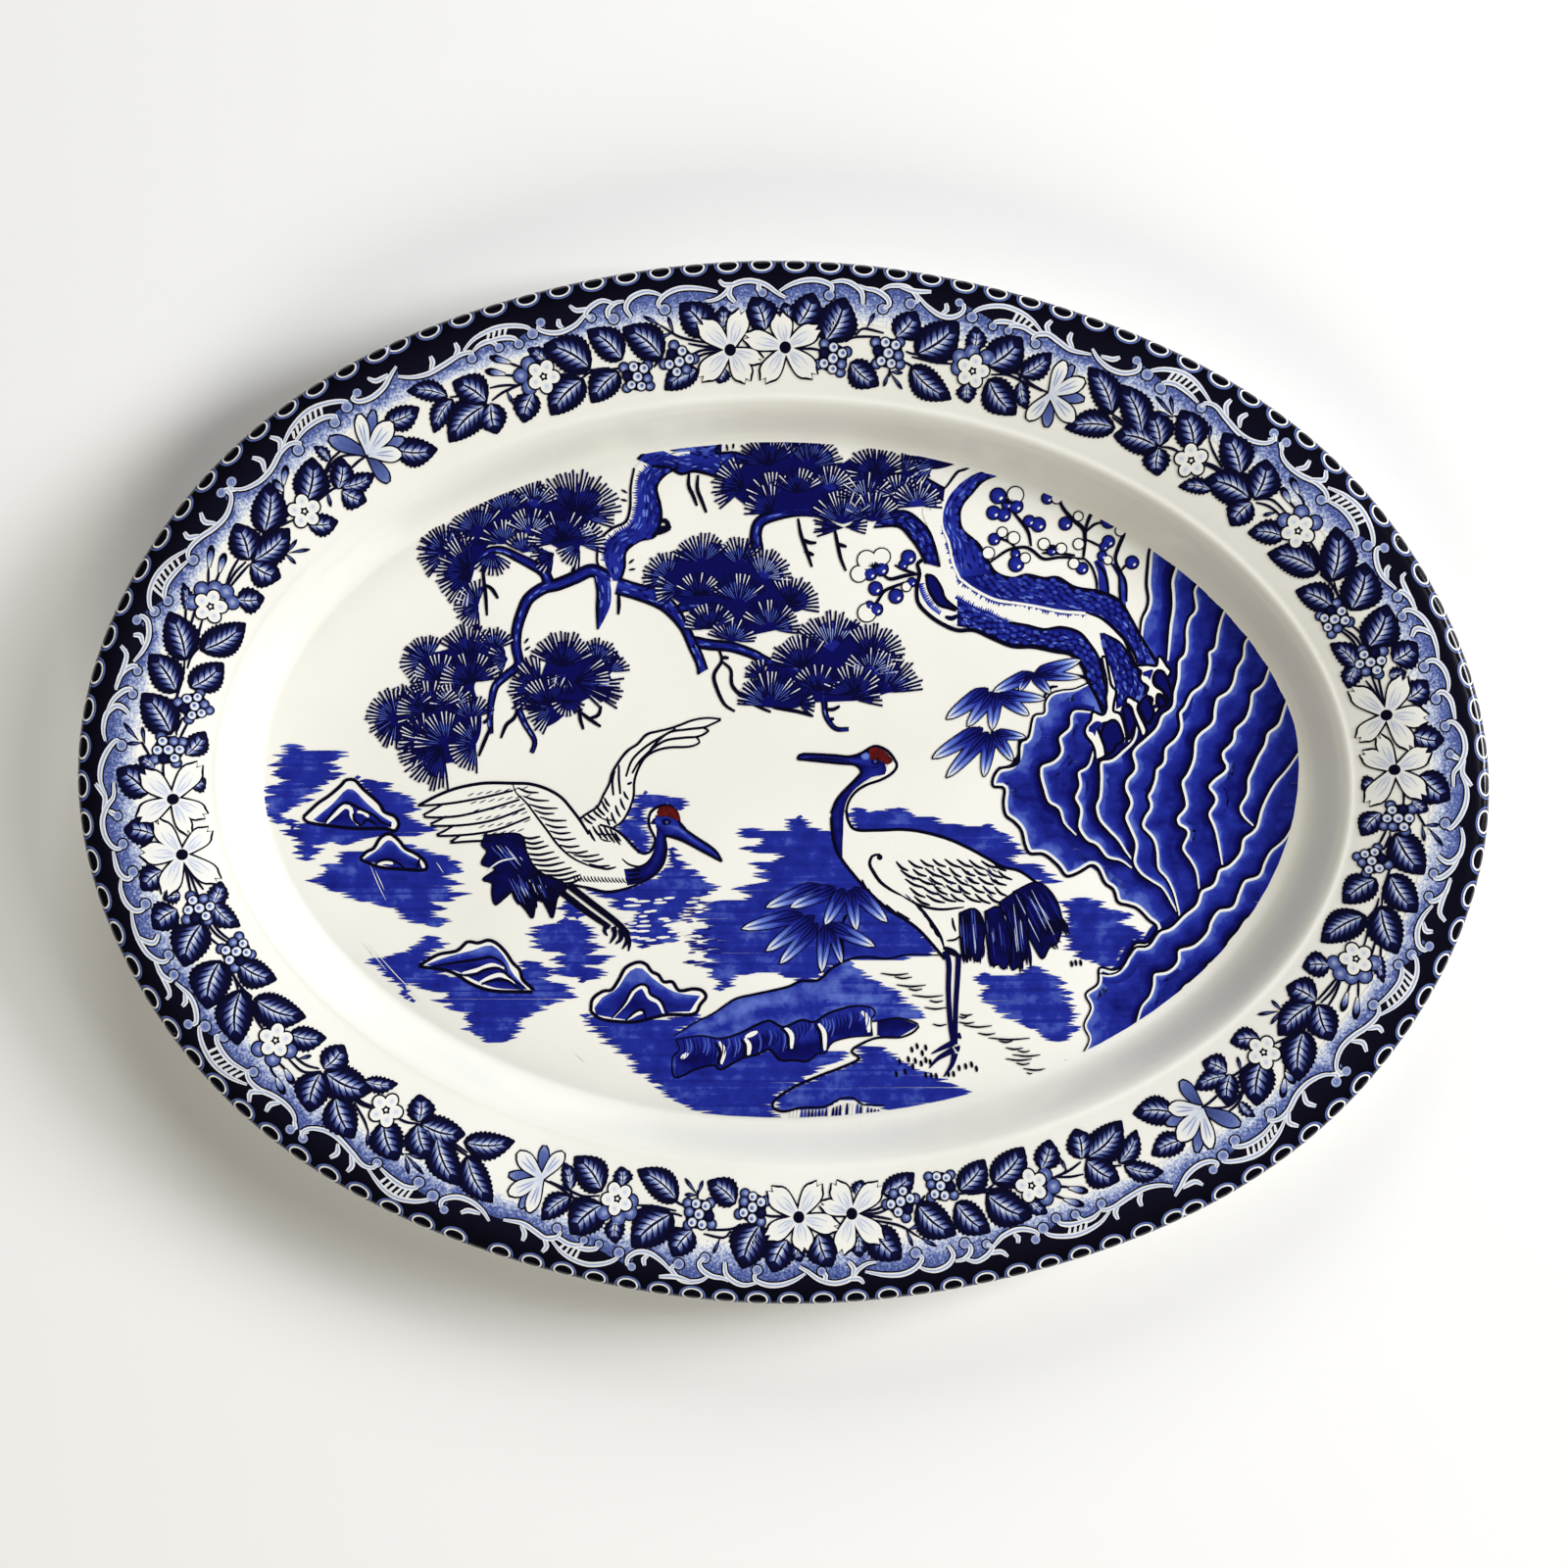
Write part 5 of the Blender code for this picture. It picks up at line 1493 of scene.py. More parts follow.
# %% Fans of needles
FAN_TONES = {"dark": (0.04, 0.14, 0.4), "deep": (0.18, 0.34, 0.62), "blue": (0.34, 0.5, 0.8)}
FAN_OVERHANG = 8
NEEDLE_GAP = 1.25


def fan(centre, reach, start, end, kind="dark"):
    """Needles that spread from a twig between two angles, in degrees."""
    centre = Vector(centre)
    heart, fringe, gleam = FAN_TONES[kind]
    start, end = math.radians(start - FAN_OVERHANG), math.radians(end + FAN_OVERHANG)
    count = max(4, round((end - start) * reach / NEEDLE_GAP))
    angles = [start + (end - start) * (k + chance.uniform(-0.2, 0.2)) / count for k in range(count + 1)]
    rays = [heading(a) for a in angles]
    rings = ((0.02, heart), (0.4, heart), (0.76, fringe))
    FANS.web([[(*(centre + ray * (reach * u)), tone) for ray in rays] for u, tone in rings])
    for ray in rays:
        length = reach * chance.uniform(0.95, 1.09)
        line(NEEDLES, (centre + ray * (0.3 * reach), centre + ray * length), (0.3, 0.66, 0.62),
            tone=0.06, step=6)
    for first, second in zip(rays, rays[1:]):
        ray = (first + second).normalized()
        low, high = chance.uniform(0.2, 0.5), chance.uniform(0.6, 0.75)
        line(NEEDLES, (centre + ray * (reach * low), centre + ray * (reach * high)), (0.06, 0.24, 0.3),
            tone=gleam, step=6)
        if chance.random() < 0.6:
            low = chance.uniform(0.55, 0.7)
            line(NEEDLES, (centre + ray * (reach * low), centre + ray * (reach * 0.99)),
                (0.06, 0.3, 0.34), tone=0.96, step=6)


MASSES = table("""-98,67 -93,73 -87,76 -80,81 -72,83 -64,84 -55,83 -50,78 -54,74 -57,70 -61,66 -66,68
    -72,71 -78,71 -84,69 -88,64 -91,56 -95,60 / -104,37 -98,38 -90,41 -84,42 -80,37 -84,32 -89,28 -87,20
    -88,12 -94,6 -104,6 -112,12 -115,19 -110,24 -103,27 -106,32 / -71,24 -70,30 -67,37 -62,41 -56,38
    -50,37 -46,34 -50,31 -47,26 -54,25 -60,22 -66,17 -71,16 / -38,60 -33,64 -27,68 -20,69 -12,67 -7,64
    -2,62 1,56 7,54 6,50 1,48 1,45 -6,43 -14,42 -22,45 -29,51 -33,54 /
    -16,84 -12,91 -7,96 2,98 9,96 14,91 22,94 30,92 34,87 42,84 43,80 34,79 26,77 20,75 12,78 4,77 -4,78
    -11,80 / -8,22 -11,27 -6,31 -3,36 3,40 10,45 17,47 24,44 30,40 33,34 37,28 31,26 24,24 16,23 8,23
    2,21""")
for mass in MASSES:
    solid(MARKS, mass, 0.16)
for facts in table("""-97,66 8.2 70 225 deep / -80,77 8 45 150 deep / -87.5,71.5 9 55 185 deep /
        -72,79.3 7.4 25 140 blue / -60,76.5 12.8 15 135 / -57,76 8 -12 45 deep / -90,61 10.4 100 258 /
        -80.5,68.5 7.2 50 170 deep / -73,71.5 7.6 30 150 blue / -64,69 9.6 20 180 /
        -59,68.5 7.6 -10 70 deep / -58.6,69 7.2 205 260 deep / -66,66 6.6 175 250 /
        -84,66.3 6.6 225 320 deep / -87.8,51 7 85 262 deep / -75,66 6 20 140 deep / -93,66 6 40 160 /
        -102.5,34.8 7.6 65 232 deep / -90.5,36 9.2 45 145 / -83.5,38 6.4 30 150 deep /
        -79.3,35.6 6 140 235 deep / -90,28.5 9 20 190 / -99,29 8 60 200 / -111.5,18.5 8.4 70 262 deep /
        -108,20 8 40 130 / -102,20 9.5 30 200 / -98,10.5 12.4 170 268 / -97,11 9.5 80 180 deep /
        -95.5,22 6.5 20 170 blue / -90,18 7 30 150 deep / -88.5,11 8 95 262 deep / -103,12 8 100 260 /
        -63.5,33 10 30 152 / -54,34.5 7 5 125 deep / -50.5,31.6 6 15 70 deep / -60.5,29 10.4 -35 40 /
        -58.5,28 12 -25 0 deep / -63,31 6 190 300 blue / -70,27 9.2 100 215 / -67,21.5 9.5 70 175 /
        -66,21.5 8 175 240 deep / -62,24 5 200 330 / -11,85 9.2 118 212 / -4,91 9.6 40 165 /
        7,90.5 10.4 15 125 deep / 2,93.5 7.6 60 120 blue / -3,81 8.4 60 178 / 4,83 7.6 30 150 /
        13,84 7.2 15 140 blue / 26.5,88 8.8 25 190 / -3,77.5 8.6 90 172 / 17,74.3 9.8 25 152 deep /
        24,81 8.4 20 165 blue / 25.5,75 8.6 20 150 deep / 17.5,73.3 8.4 165 190 / 17.5,73.5 6.6 -8 14 /
        34,88 8.6 10 80 deep / 38.5,79.6 7.4 5 175 blue / 33,82 6.6 30 160 deep / 44,93 9 150 235 deep /
        -23.5,62.5 9 45 155 deep / -33,58.7 7.4 75 200 deep / -12.5,62 8.2 50 135 deep /
        -6.3,58.8 8.4 0 115 blue / -24.5,53.5 7 20 170 / -30,55.5 7 150 215 deep /
        -13,51 9.2 35 145 deep / 1.5,50.6 8.6 -2 115 / -4,44 8.6 0 148 deep / -21,44 7.6 30 170 /
        -15,40.5 7 8 155 deep / 6,32.5 10 60 165 / 14,37.5 11.2 55 142 blue / 25,35.8 9.6 0 122 /
        25,31 8 10 150 blue / 20,25 9 20 170 / 28,25.5 12 14 72 deep / 19,24 9 -4 30 /
        -3.8,22 10 28 168 deep / -6,30 5.4 90 170 / 10,26 8 30 150 / 4,22.5 5 -30 40"""):
    fan(*facts)
sheet(LINES, xy("50,95 60,93.3 69,91 77.5,88.3"), xy("52,93 60,91.8 68,89 77.5,88.2"), (0.06, 0.14), 14)
sheet(LINES, xy("34,96 44,95 52,94.6"), xy("40,90 46,90.5 53,93"), (0.1, 0.06), 10)
pen(xy("68.5,87.6 72,88 77.5,88.2"), 0.7)
print("needle fans drawn")

# %% Bamboo leaves
def bamboo(tip, base, width):
    """A long pointed leaf, dark at its stalk and down its middle, pale towards its tip."""
    base, run = Vector(base), Vector(tip) - Vector(base)
    side = square_to(run) * (width / 2)
    ease = [k / 10 for k in range(11)]
    bulge = [1.55 * min(1, u / 0.22) ** 0.7 * (1 - u) ** 0.62 * (0.55 + 0.45 * u) for u in ease]
    for ink, grow, shades in ((LINES, 0.32, (0, 0, 0, 0, 0)), (FANS, 0, (0.0, 0.12, -0.1, 0.12, 0.0))):
        rows = []
        for u, b in zip(ease, bulge):
            spine = base + run * (u + 0.02 * (grow > 0) * u)
            tone = (0.1 + 0.85 * u) * (grow == 0)
            half = b + grow * 2 / width
            spots = zip((-1, -0.5, 0, 0.5, 1), shades)
            rows.append([(*(spine + side * v * half), min(1, tone + shift)) for v, shift in spots])
        ink.web(rows)
    for shift in (-0.45, 0, 0.45):
        reach = 0.95 if shift == 0 else chance.uniform(0.45, 0.7)
        path = [base + run * (reach * u) + side * (shift * math.sin(math.pi * (0.2 + 0.7 * u)))
            for u in (0.06, 0.5, 1)]
        line(NEEDLES, path, (0.5, 0.36, 0.08), tone=0.06)


for tip, base, width in table("""85.5,35.2 72,30.8 4.4 / 85.5,30.2 72,31 3 / 76.8,25.6 71.6,31.5 3.2 /
        60.5,26 72,31.5 4.2 / 68,26.5 70.5,31 2.6 / 47,18.3 59,27 5 / 53,16.2 60.5,26 4.4 /
        60,15.2 61.2,26 4.4 / 70.6,19.4 62,25.4 4.2 / 75.2,24 62,25.3 3.8 / 43,7 57.5,15.6 5 /
        47,1.5 59,14.5 4.6 / 57.7,1.7 59.6,14 4.2 / 66,6.3 60.5,14.4 3.8 / 69.6,13 60.5,14.2 3.2 /
        -5,-36 11,-29.6 5 / 2,-36 15,-30.3 4.8 / 12,-41 17.5,-30.5 4.6 / 21,-42.5 19.3,-30.8 4.4 /
        29.8,-40.2 20,-30.2 4.8 / -12,-42.2 5.5,-38 4.8 / -5,-48.6 9,-38.4 5 / -1,-52.2 10,-40.6 4.6 /
        11,-54.6 12,-40.8 4.4 / 16.8,-52 13.6,-41.6 3 / 26.2,-47.2 12.6,-40.8 4.6"""):
    bamboo(tip, base, width)
for stem in table("""75,24 75.5,25.5 77,27.3 79,27.6 / 69.5,13 68,12.5 67.8,8 67.4,5.5 64.5,4.3 62,4.3 /
        66,6.2 67.3,7 / 61,26 63,27.5 / 60,15 60.3,13.8 / 16.4,-42 17,-47 17.2,-51 / 18.2,-38 17,-40.5 /
        84,31 87,30 88.3,28.5"""):
    pen(stem, 1.0)
print("bamboo drawn")

# %% Plum twigs and flowers
for *points, width in table("""39,60 35,59.5 31,58.5 29,59.5 1.2 /
        36.5,58 32.5,56.6 29,55 27,52 25.5,50.5 1.0 / 38.5,60 34.5,61.3 32,62.6 0.9 /
        86.5,64.3 80,64.8 75,64.3 72,66.5 69.5,67.7 65,67 61.5,64.8 59.3,63.2 1.0 /
        84,65.3 79,66 74.5,66 1.0 / 71.3,68 70.5,72 68.5,75 65.5,78.5 1.1 /
        67.3,67.3 64.5,69.5 61,70.4 0.8 / 86.4,65 86.8,70 86.3,73 83,76 80.5,79 79,82 1.3 /
        86.6,71.5 88,76 90.5,80.5 1.1 / 87,72 89.5,74.2 92,74.8 0.8 / 87,70 90,68.6 92,67.6 0.8 /
        86,65 88.5,62.5 90,58.5 90.3,54.5 0.8 / 90,63.5 92.6,60 93.4,56.5 93.6,54 0.9 /
        94,63.5 96.5,60 96.8,55 97.5,51 100.6,45.6 0.8 / 96,62 98.4,58 98.8,52 0.9 /
        97.5,60 95.6,64 96.4,67.5 98,71.5 99,76 98.8,79 1.2 / 99,71.6 102,73.8 104.8,75.3 1.2 /
        97.3,61 98.4,62.3 99.5,62.8 0.8 / 85.2,85.2 87,83.6 89,82.6 0.8"""):
    pen(points, width, ends=0.6)
line(TINTS, xy("90.3,64 91.8,60.5 92,57 92.2,54.5"), (2, 2.6, 2.4), tone=0.42)
line(TINTS, xy("95,63 97.3,59 97.6,54 98.2,50"), (1.4, 1.8, 1), tone=0.5)
sheet(LINES, xy("87,84 91,83 94.5,81.3"), xy("87.5,80.5 90.5,80.3 94.5,81.2"), (0.05, 0.12), 8)
PLUM_TONES = {"open": (1.0, 1.0), "blue": (0.55, 0.3)}
for (x, y), radius, kind in table("""24,64 2.6 open / 28.3,65 2.3 open / 21.7,60 2.2 open /
        28.2,61.4 1.8 blue / 25,60 1.7 blue / 36,64.8 1.9 blue / 34.5,62.6 1.1 blue /
        26.5,55.8 1.8 blue / 32.4,53.6 1.9 blue / 35.4,56.3 1.2 open / 37,57.6 1.1 blue /
        24,48.8 2.5 open / 26.8,49.8 1.6 blue / 24.8,51 1.0 blue / 61.8,82.5 2.1 blue /
        66.8,82.8 2.2 open / 60.5,77.6 1.8 blue / 63.5,77 1.7 blue / 67,79.5 1.8 blue /
        64.4,80 1.3 blue / 70.8,75.2 1.5 blue / 73.4,74.2 1.9 blue / 63,72 1.3 open / 60.7,70 1.5 blue /
        66.3,70.4 1.6 open / 59,66 1.6 open / 67,62.8 2.0 blue / 69.6,64.6 1.3 open /
        66.8,65.8 1.1 blue / 75,68.6 1.5 open / 80,67.3 1.4 open / 77.3,66.8 1.3 blue /
        76,81.8 1.5 blue / 78.7,81.8 1.4 open / 81.2,74.5 1.7 blue / 84.9,76.6 1.2 open /
        93.6,75.3 2.0 blue / 85,68.6 1.4 open / 93.6,69.3 1.6 blue / 92.3,67.8 1.1 blue /
        91.8,65.2 1.2 blue / 93.4,64 1.1 open / 83.6,63 1.4 open / 86,61.6 1.5 blue / 84,82.3 1.7 blue /
        86.4,82.4 1.3 open / 88.6,81.4 1.9 blue / 97,72.4 1.3 open / 102.3,72.4 1.3 blue /
        104.5,71.6 1.1 blue / 100.4,63.3 1.7 blue / 100.6,76 1.3 blue / 103.6,73.6 0.9 blue"""):
    disc(LINES, (x, y), radius + 0.42, (0, 0))
    disc(FANS, (x, y), radius, PLUM_TONES[kind])
    if kind == "blue":
        disc(NEEDLES, (x + 0.4 * radius, y - 0.35 * radius), 0.3 * radius, (1, 1), squash=0.6, turn=0.8,
            sides=8)
for x, y in xy("26.3,62 65,80.3 77.3,67 87.6,82.6"):
    for k in range(7):
        angle = math.pi * (0.05 + 0.15 * k)
        pen(((x, y), (x + 2 * math.cos(angle), y + 1.5 * math.sin(angle))), 0.45, 0.0, NEEDLES)
print("plum drawn")

# %% [markdown]
# ## The two cranes
# The birds are bare glaze inside their outlines, so each is a white shape over the washes, then a dark
# neck and tail, then pen lines for the feathers. Touches of dark red enamel lie on their crowns.

# %% Plumage tools
PALE_STREAKS = 13
LOOSE_TIPS = 16


def plume(outline, streaks, tone=0.1):
    """A dark bunch of feathers with thin pale streaks in it."""
    solid(TINTS, outline, tone)
    pen(outline + outline[:1], 0.6, ends=0.8)
    for start, end in streaks:
        start, end = Vector(start), Vector(end)
        for _ in range(PALE_STREAKS):
            shift = Vector((chance.uniform(-3, 3), chance.uniform(-1.5, 1.5)))
            low, high = sorted((chance.random(), chance.random()))
            if high - low > 0.15:
                line(MARKS, (start.lerp(end, low) + shift, start.lerp(end, high) + shift),
                    (0.08, 0.3, 0.08), tone=chance.choice((0.4, 0.6, 0.85)))
        for _ in range(LOOSE_TIPS):
            shift = Vector((chance.uniform(-3.2, 3.2), chance.uniform(-1, 1)))
            tip = end + (end - start).normalized() * chance.uniform(0.6, 2.4)
            line(TINTS, (start.lerp(end, 0.7) + shift, tip + shift), (0.3, 1.0, 0.1), tone=0.05)


def strokes(pairs, width=0.62, sag=0.5):
    """Feather strokes, each a little bowed."""
    for start, end in pairs:
        middle = (Vector(start) + Vector(end)) / 2 + Vector((-0.2, -sag))
        pen((start, middle, end), width, ends=0.5)


print("plumage tools ready")

# %% The standing crane
STANDING_BACK = xy("""18,-8 18.8,-11.5 21,-13.7 28,-13.8 34,-13.6 40,-14.3 47,-16.2 53,-18.8 58,-21.5
    63,-24.3 68,-25.6 73,-29""")
STANDING_BREAST = xy("""13.8,-10 14,-14 15,-19 17,-22.5 20.5,-27 25,-32 30,-36.5 35,-39.5 39,-42.5
    43,-46.8 46.5,-51""")
solid(BLANKS, STANDING_BACK + xy("69,-31 64,-33 58,-37 51,-38 50.5,-44.5 47,-46 47.5,-50")
    + STANDING_BREAST[::-1], 1.0)
sheet(TINTS, xy("21.5,5.5 22.4,3 21,1 18,-2 15.3,-5 13.7,-9 13.8,-14 15,-19 16.8,-22"),
    xy("29,6 29.5,2.5 25.5,1.5 21,-1.6 18.4,-5 17.4,-9 17.2,-14 17,-18 17,-22"), (0.14, 0.3, 0.2), 26)
sheet(TINTS, xy("4,6.9 6,8.1 14,7.8 19,7.3 23,8.6 25.5,9.9"), xy("""4,6.6 10,6.1 16,5.6 21,5 24,4
    27.5,4"""), (0.1, 0.45, 0.12), 22)
disc(MARKS, (23.6, 7.5), 1.3, (0.78, 0.66), squash=0.8)
disc(MARKS, (26.6, 5.9), 1.5, (0.0, 0.1), squash=0.6)
disc(LINES, (26.4, 6), 0.42, (0.6, 0.6), sides=8)
solid(BLANKS, xy("""30,5.2 31.8,6 32.3,4 30.5,2.2 27,0.6 23,-0.6 20,-3 18.6,-7 18.4,-10 17.4,-10 18,-5.5
    20.5,-2 25,0.8 28.8,2.4"""), 1.0)
pen(xy("""4,6.7 5.6,8.1 14,7.8 19,7.4 22.5,8.4 25,9.9 27,10.4 30,9 32,6.5 32.6,4.5 31,2.4 28,0.7 24,-0.7
    20.5,-3 18.6,-6 18,-9"""), 0.85, ends=0.9)
pen(xy("4,6.7 10,6.1 16,5.5 20.8,5 22.4,3 21,1 18,-2 15.4,-5 13.7,-9"), 0.85, ends=0.9)
pen(xy("7,7 13,6.8 19,6.2"), 0.5)
pen(STANDING_BACK, 0.95, ends=0.9)
pen(STANDING_BREAST, 0.95, ends=0.9)
pen(xy("37,-34 40,-37 43,-41 45.2,-44.5 46.2,-47.5"), 1.1)
pen(xy("28.2,-21.6 27.5,-20.8 25.6,-21.3 24.8,-23.5 26,-26 28,-28.8 31,-31 34,-32.6"), 1.05)
disc(LINES, (27.7, -21.6), 0.85, (0, 0))
pen(xy("34,-32.6 39,-35.3 45,-36.6 52,-36"), 0.85)
pen(xy("47,-45.6 49.5,-45.3 51,-44"), 0.7)
for row in range(5):
    for k in range(9 - row // 2):
        start = (32.4 + 1.3 * row + 3.5 * k, -22.8 - 2.5 * row + 0.38 * k - 0.05 * k * k)
        if start[0] < 64:
            end = (start[0] + chance.uniform(3.4, 5.6), start[1] - chance.uniform(2, 2.9))
            strokes([(start, end)], 0.85, 0.45)
for _ in range(26):
    start = (chance.uniform(34, 62), chance.uniform(-33, -24))
    pen((start, (start[0] + chance.uniform(0.8, 1.8), start[1] - chance.uniform(0.8, 1.6))), 0.36, 0.2)
strokes(table("""22.6,-28 24.2,-31 / 24.4,-30.6 26,-33 / 25.5,-32.5 28.3,-35 / 27.6,-34 30.4,-36.6 /
    29.6,-35.2 32.4,-37.6 / 32.6,-37.2 36.4,-39.5 / 38.2,-34.8 40.4,-37.6 / 40,-37 42,-39.6 /
    42,-40 43.6,-42.6 / 43.4,-42 44.8,-44.6 / 48.6,-39 49.6,-43"""), 0.8, 0.1)
plume(xy("50.6,-37.6 55,-36.4 57.5,-40 57.6,-46 56,-51.6 54,-49.6 51.6,-49.4 50.8,-44"),
    [xy("53.5,-37 54.5,-50")])
plume(xy("58,-37.2 62,-36 65.5,-42 65.4,-50 63.6,-53.8 62,-52.4 60,-52.6 58.6,-46"),
    [xy("60.5,-37 62.5,-52")])
plume(xy("62,-34.6 68,-32 70.5,-42 69.6,-50 67.6,-53 65.6,-53.6 65.6,-46"), [xy("66,-34 68,-52")])
plume(xy("66,-31.6 73,-28.8 78,-33 80.2,-40 79,-46 76.6,-47.5 74.6,-50.8 72,-47 69,-41"),
    table("69,-32 76,-46 / 72,-31 79,-42"))
strokes(table("77,-46 78.6,-48 / 78,-44 80,-46 / 79,-41.5 80.6,-43.5"), 0.5)
for leg in table("""46.4,-48.6 47.6,-52 47.5,-60 48,-69 49,-75.5 /
        50.4,-49.5 50.2,-55 49.6,-65 49.4,-75.5"""):
    line(LINES, leg, (1.7, 1.5, 1.5), tone=0.08)
pen(xy("46,-47.6 48.5,-48.8 50.6,-50"), 1.9)
for toe in table("""49,-75 46,-76.4 42.6,-78.2 / 49,-77 44.5,-79.6 42,-82.3 /
        49.4,-78 48.4,-81.5 46.2,-84.8 / 50,-72.6 51.2,-73.8 / 50,-76 50.4,-77.6"""):
    line(LINES, toe, (1.9, 1.3, 0.4), tone=0.1)
print("standing crane drawn")

# %% The flying crane
NEAR_EDGE = xy("""-105.3,-6.8 -100,-4 -95,-2 -90,-0.8 -85,-0.2 -78,-0.3 -73,-0.5 -68,-2 -64,-4.4
    -61,-7.8 -58.6,-11 -56,-15""")
solid(BLANKS, NEAR_EDGE[:-1] + xy("""-54,-12.3 -50,-12.6 -47,-15 -43,-19.6 -40,-20.6 -38,-19.6 -37,-15
    -39,-12 -38.4,-9 -36,-7 -33,-6.8 -34,-16 -34,-22 -38,-27.4 -45,-30.4 -51,-31.6 -57,-30.4 -62,-29.5
    -68,-27 -72,-25 -76,-19 -80,-16 -96,-17.4 -94,-15.4 -99.6,-15.4 -97,-12.6 -101.6,-12.4 -99,-10
    -103.6,-9.9 -100.6,-7"""), 1.0)
solid(BLANKS, xy("""-58,-10.5 -53,-6 -50,0 -47,6 -42,11 -37,14.5 -30,16.5 -24,18.3 -18,18 -22,15.5
    -24,13 -24,11 -30,10 -38,8.5 -42,3.5 -43.5,-4 -46,-11 -50,-13 -55,-14"""), 1.0)
FAR_WING = table("""-58.6,-10.5 -56.5,-9 -53.5,-7 -52,-4 -50.2,-0.5 -49.4,2.5 -47.6,5.6 -45,9 -42,11
    -39.5,13.7 -36.5,14.6 -33,15.4 -30,16.4 -26,17.9 -22,18.5 -18,18.2 /
    -18,18 -20.5,16.8 -23,15.8 -28,15.2 -33,14.3 -37,11 -39.5,7.6 / -23,15.6 -21.6,14.8 -24.5,13.2
    -29,12.8 -34,12 -38,9.4 -41.5,6 -43.6,2.6 / -25,12.9 -24.2,11.5 -27,10.3 -33,10 -37,9 -40,7 -42,3.5
    -43,0 -43.2,-4 -44.5,-8 -46.5,-11.3 -49,-13 / -31,15.4 -36,12.6 -40,10 -43.6,6.4 -45.4,1.6 /
    -47,-3.4 -47.4,1 -47.4,5 / -49,-3.8 -49.3,0.4 -48.6,3.4""")
for feather in FAR_WING:
    pen(feather, 0.75, ends=0.8)
strokes(table("""-51.6,-4.4 -50,-7 / -52.4,-5.2 -50.4,-8.6 / -54,-6.6 -51.4,-9.6 /
    -55,-7.8 -52.4,-10.2 / -56.6,-9 -54,-11 / -57.6,-10 -55,-12 / -45,-0.6 -43.6,0 / -46,-2.6 -44.6,-5 /
    -47,-4.6 -45.6,-8 / -48.4,-6.6 -47,-10 / -49.6,-8.6 -48.2,-12 / -50.8,-10 -50,-12.4 /
    -55,-12.6 -52.4,-16 / -53.4,-12.4 -50.6,-16.6 / -51.8,-12.6 -48.6,-17.4 / -50,-13.4 -47,-18 /
    -56,-13.6 -54.2,-17 / -48.6,-14.4 -46.8,-17"""), 0.8, 0.1)
strokes(table("-53,-10 -49,-11 / -54,-14.6 -49,-15 / -53,-16 -49.6,-17"), 0.5, 0.3)
pen(NEAR_EDGE, 0.95, ends=0.9)
for feather in table("""-105.3,-6.8 -97,-6.2 -88,-4.7 -78,-2.4 / -98,-6.3 -101,-8 -103.6,-9.9 -95,-9.9
        -86,-8 -76,-5 / -97,-9.8 -99.4,-11 -101.6,-12.4 -93,-12.4 -84,-11 -74.4,-7.5 /
        -95,-12.5 -97.6,-14 -99.6,-15.4 -90,-15 -82,-13.5 -73,-10 / -93,-15.2 -95,-16.6 -96,-17.4
        -90,-17 -84,-16.8"""):
    pen(feather, 0.72, ends=0.9)
for row in range(6):
    for k in range(7):
        start = (-91 + 2.6 * k + 0.8 * row, -4 - 2.3 * row + 0.32 * k)
        if start[0] < -74:
            pen((start, (start[0] + 1.9, start[1] + 0.9)), 0.34, 0.1)
pen(xy("-78,-0.5 -77,-3 -74,-6 -71,-10 -68,-14 -65,-18 -61,-21.6 -56,-24 -52,-25"), 0.7)
strokes(table("""-76.5,-1.6 -70.5,-3 / -75,-4 -67.5,-5.3 / -73.4,-6.3 -65,-7.5 / -71.8,-8 -66,-9 /
    -70.2,-10 -62.5,-11 / -68.7,-12 -62.3,-12.9 / -67.4,-14 -61.3,-14.5 / -66.2,-16 -59.7,-16.2 /
    -64.6,-18 -58.7,-18.3 / -62.4,-20 -56.3,-19.8 / -60.4,-21 -53,-20.8 / -58,-22.5 -51.8,-22 /
    -56,-23.5 -50,-24 / -53,-24.6 -48.2,-24.4"""), 0.72)
strokes(table("""-76,-15.4 -70,-15.6 / -75,-17 -69,-17 / -75,-18.6 -67.6,-18.2 / -74.6,-20.4 -66,-20 /
    -73.6,-22 -64.6,-21.6 / -72.6,-23.6 -63,-23 / -71,-25.2 -61,-24.6 / -69,-26.6 -59.6,-25.6 /
    -66.6,-28 -58.4,-26.6 / -64,-29 -58,-27.6"""), 0.8, 0.7)
for k in range(17):
    strokes([((-60.5 + k, -26.8 - 0.05 * k), (-59.3 + k, -28.6 - 0.03 * k))], 0.45, 0.1)
pen(xy("-63,-29 -56,-30.5 -51,-31.6 -46,-30.8 -41,-29"), 0.95)
pen(xy("-53,-12.2 -49,-13.4 -45.5,-16 -42,-19.6 -40,-20.6 -37.8,-19.5 -37,-17"), 0.8, ends=0.8)
plume(xy("""-86,-15.2 -76,-15 -74,-20 -72,-24 -69,-26.5 -64,-28.5 -62.4,-30.4 -65,-33 -66.5,-39
    -68,-36.5 -69.5,-34 -71,-33 -72.2,-39 -74,-37 -76.5,-34 -78,-31.5 -80,-33 -83,-35.2 -84,-32 -84,-29
    -86.6,-28 -83,-25 -87,-23.5 -85.4,-20 -87,-18"""),
    table("-82,-17 -76,-24 / -78,-26 -74,-34 / -72,-28 -70,-33"), 0.06)
pen(xy("-85.4,-25.4 -81.6,-22.8 -77,-21.8"), 0.5, 0.95, LINES)
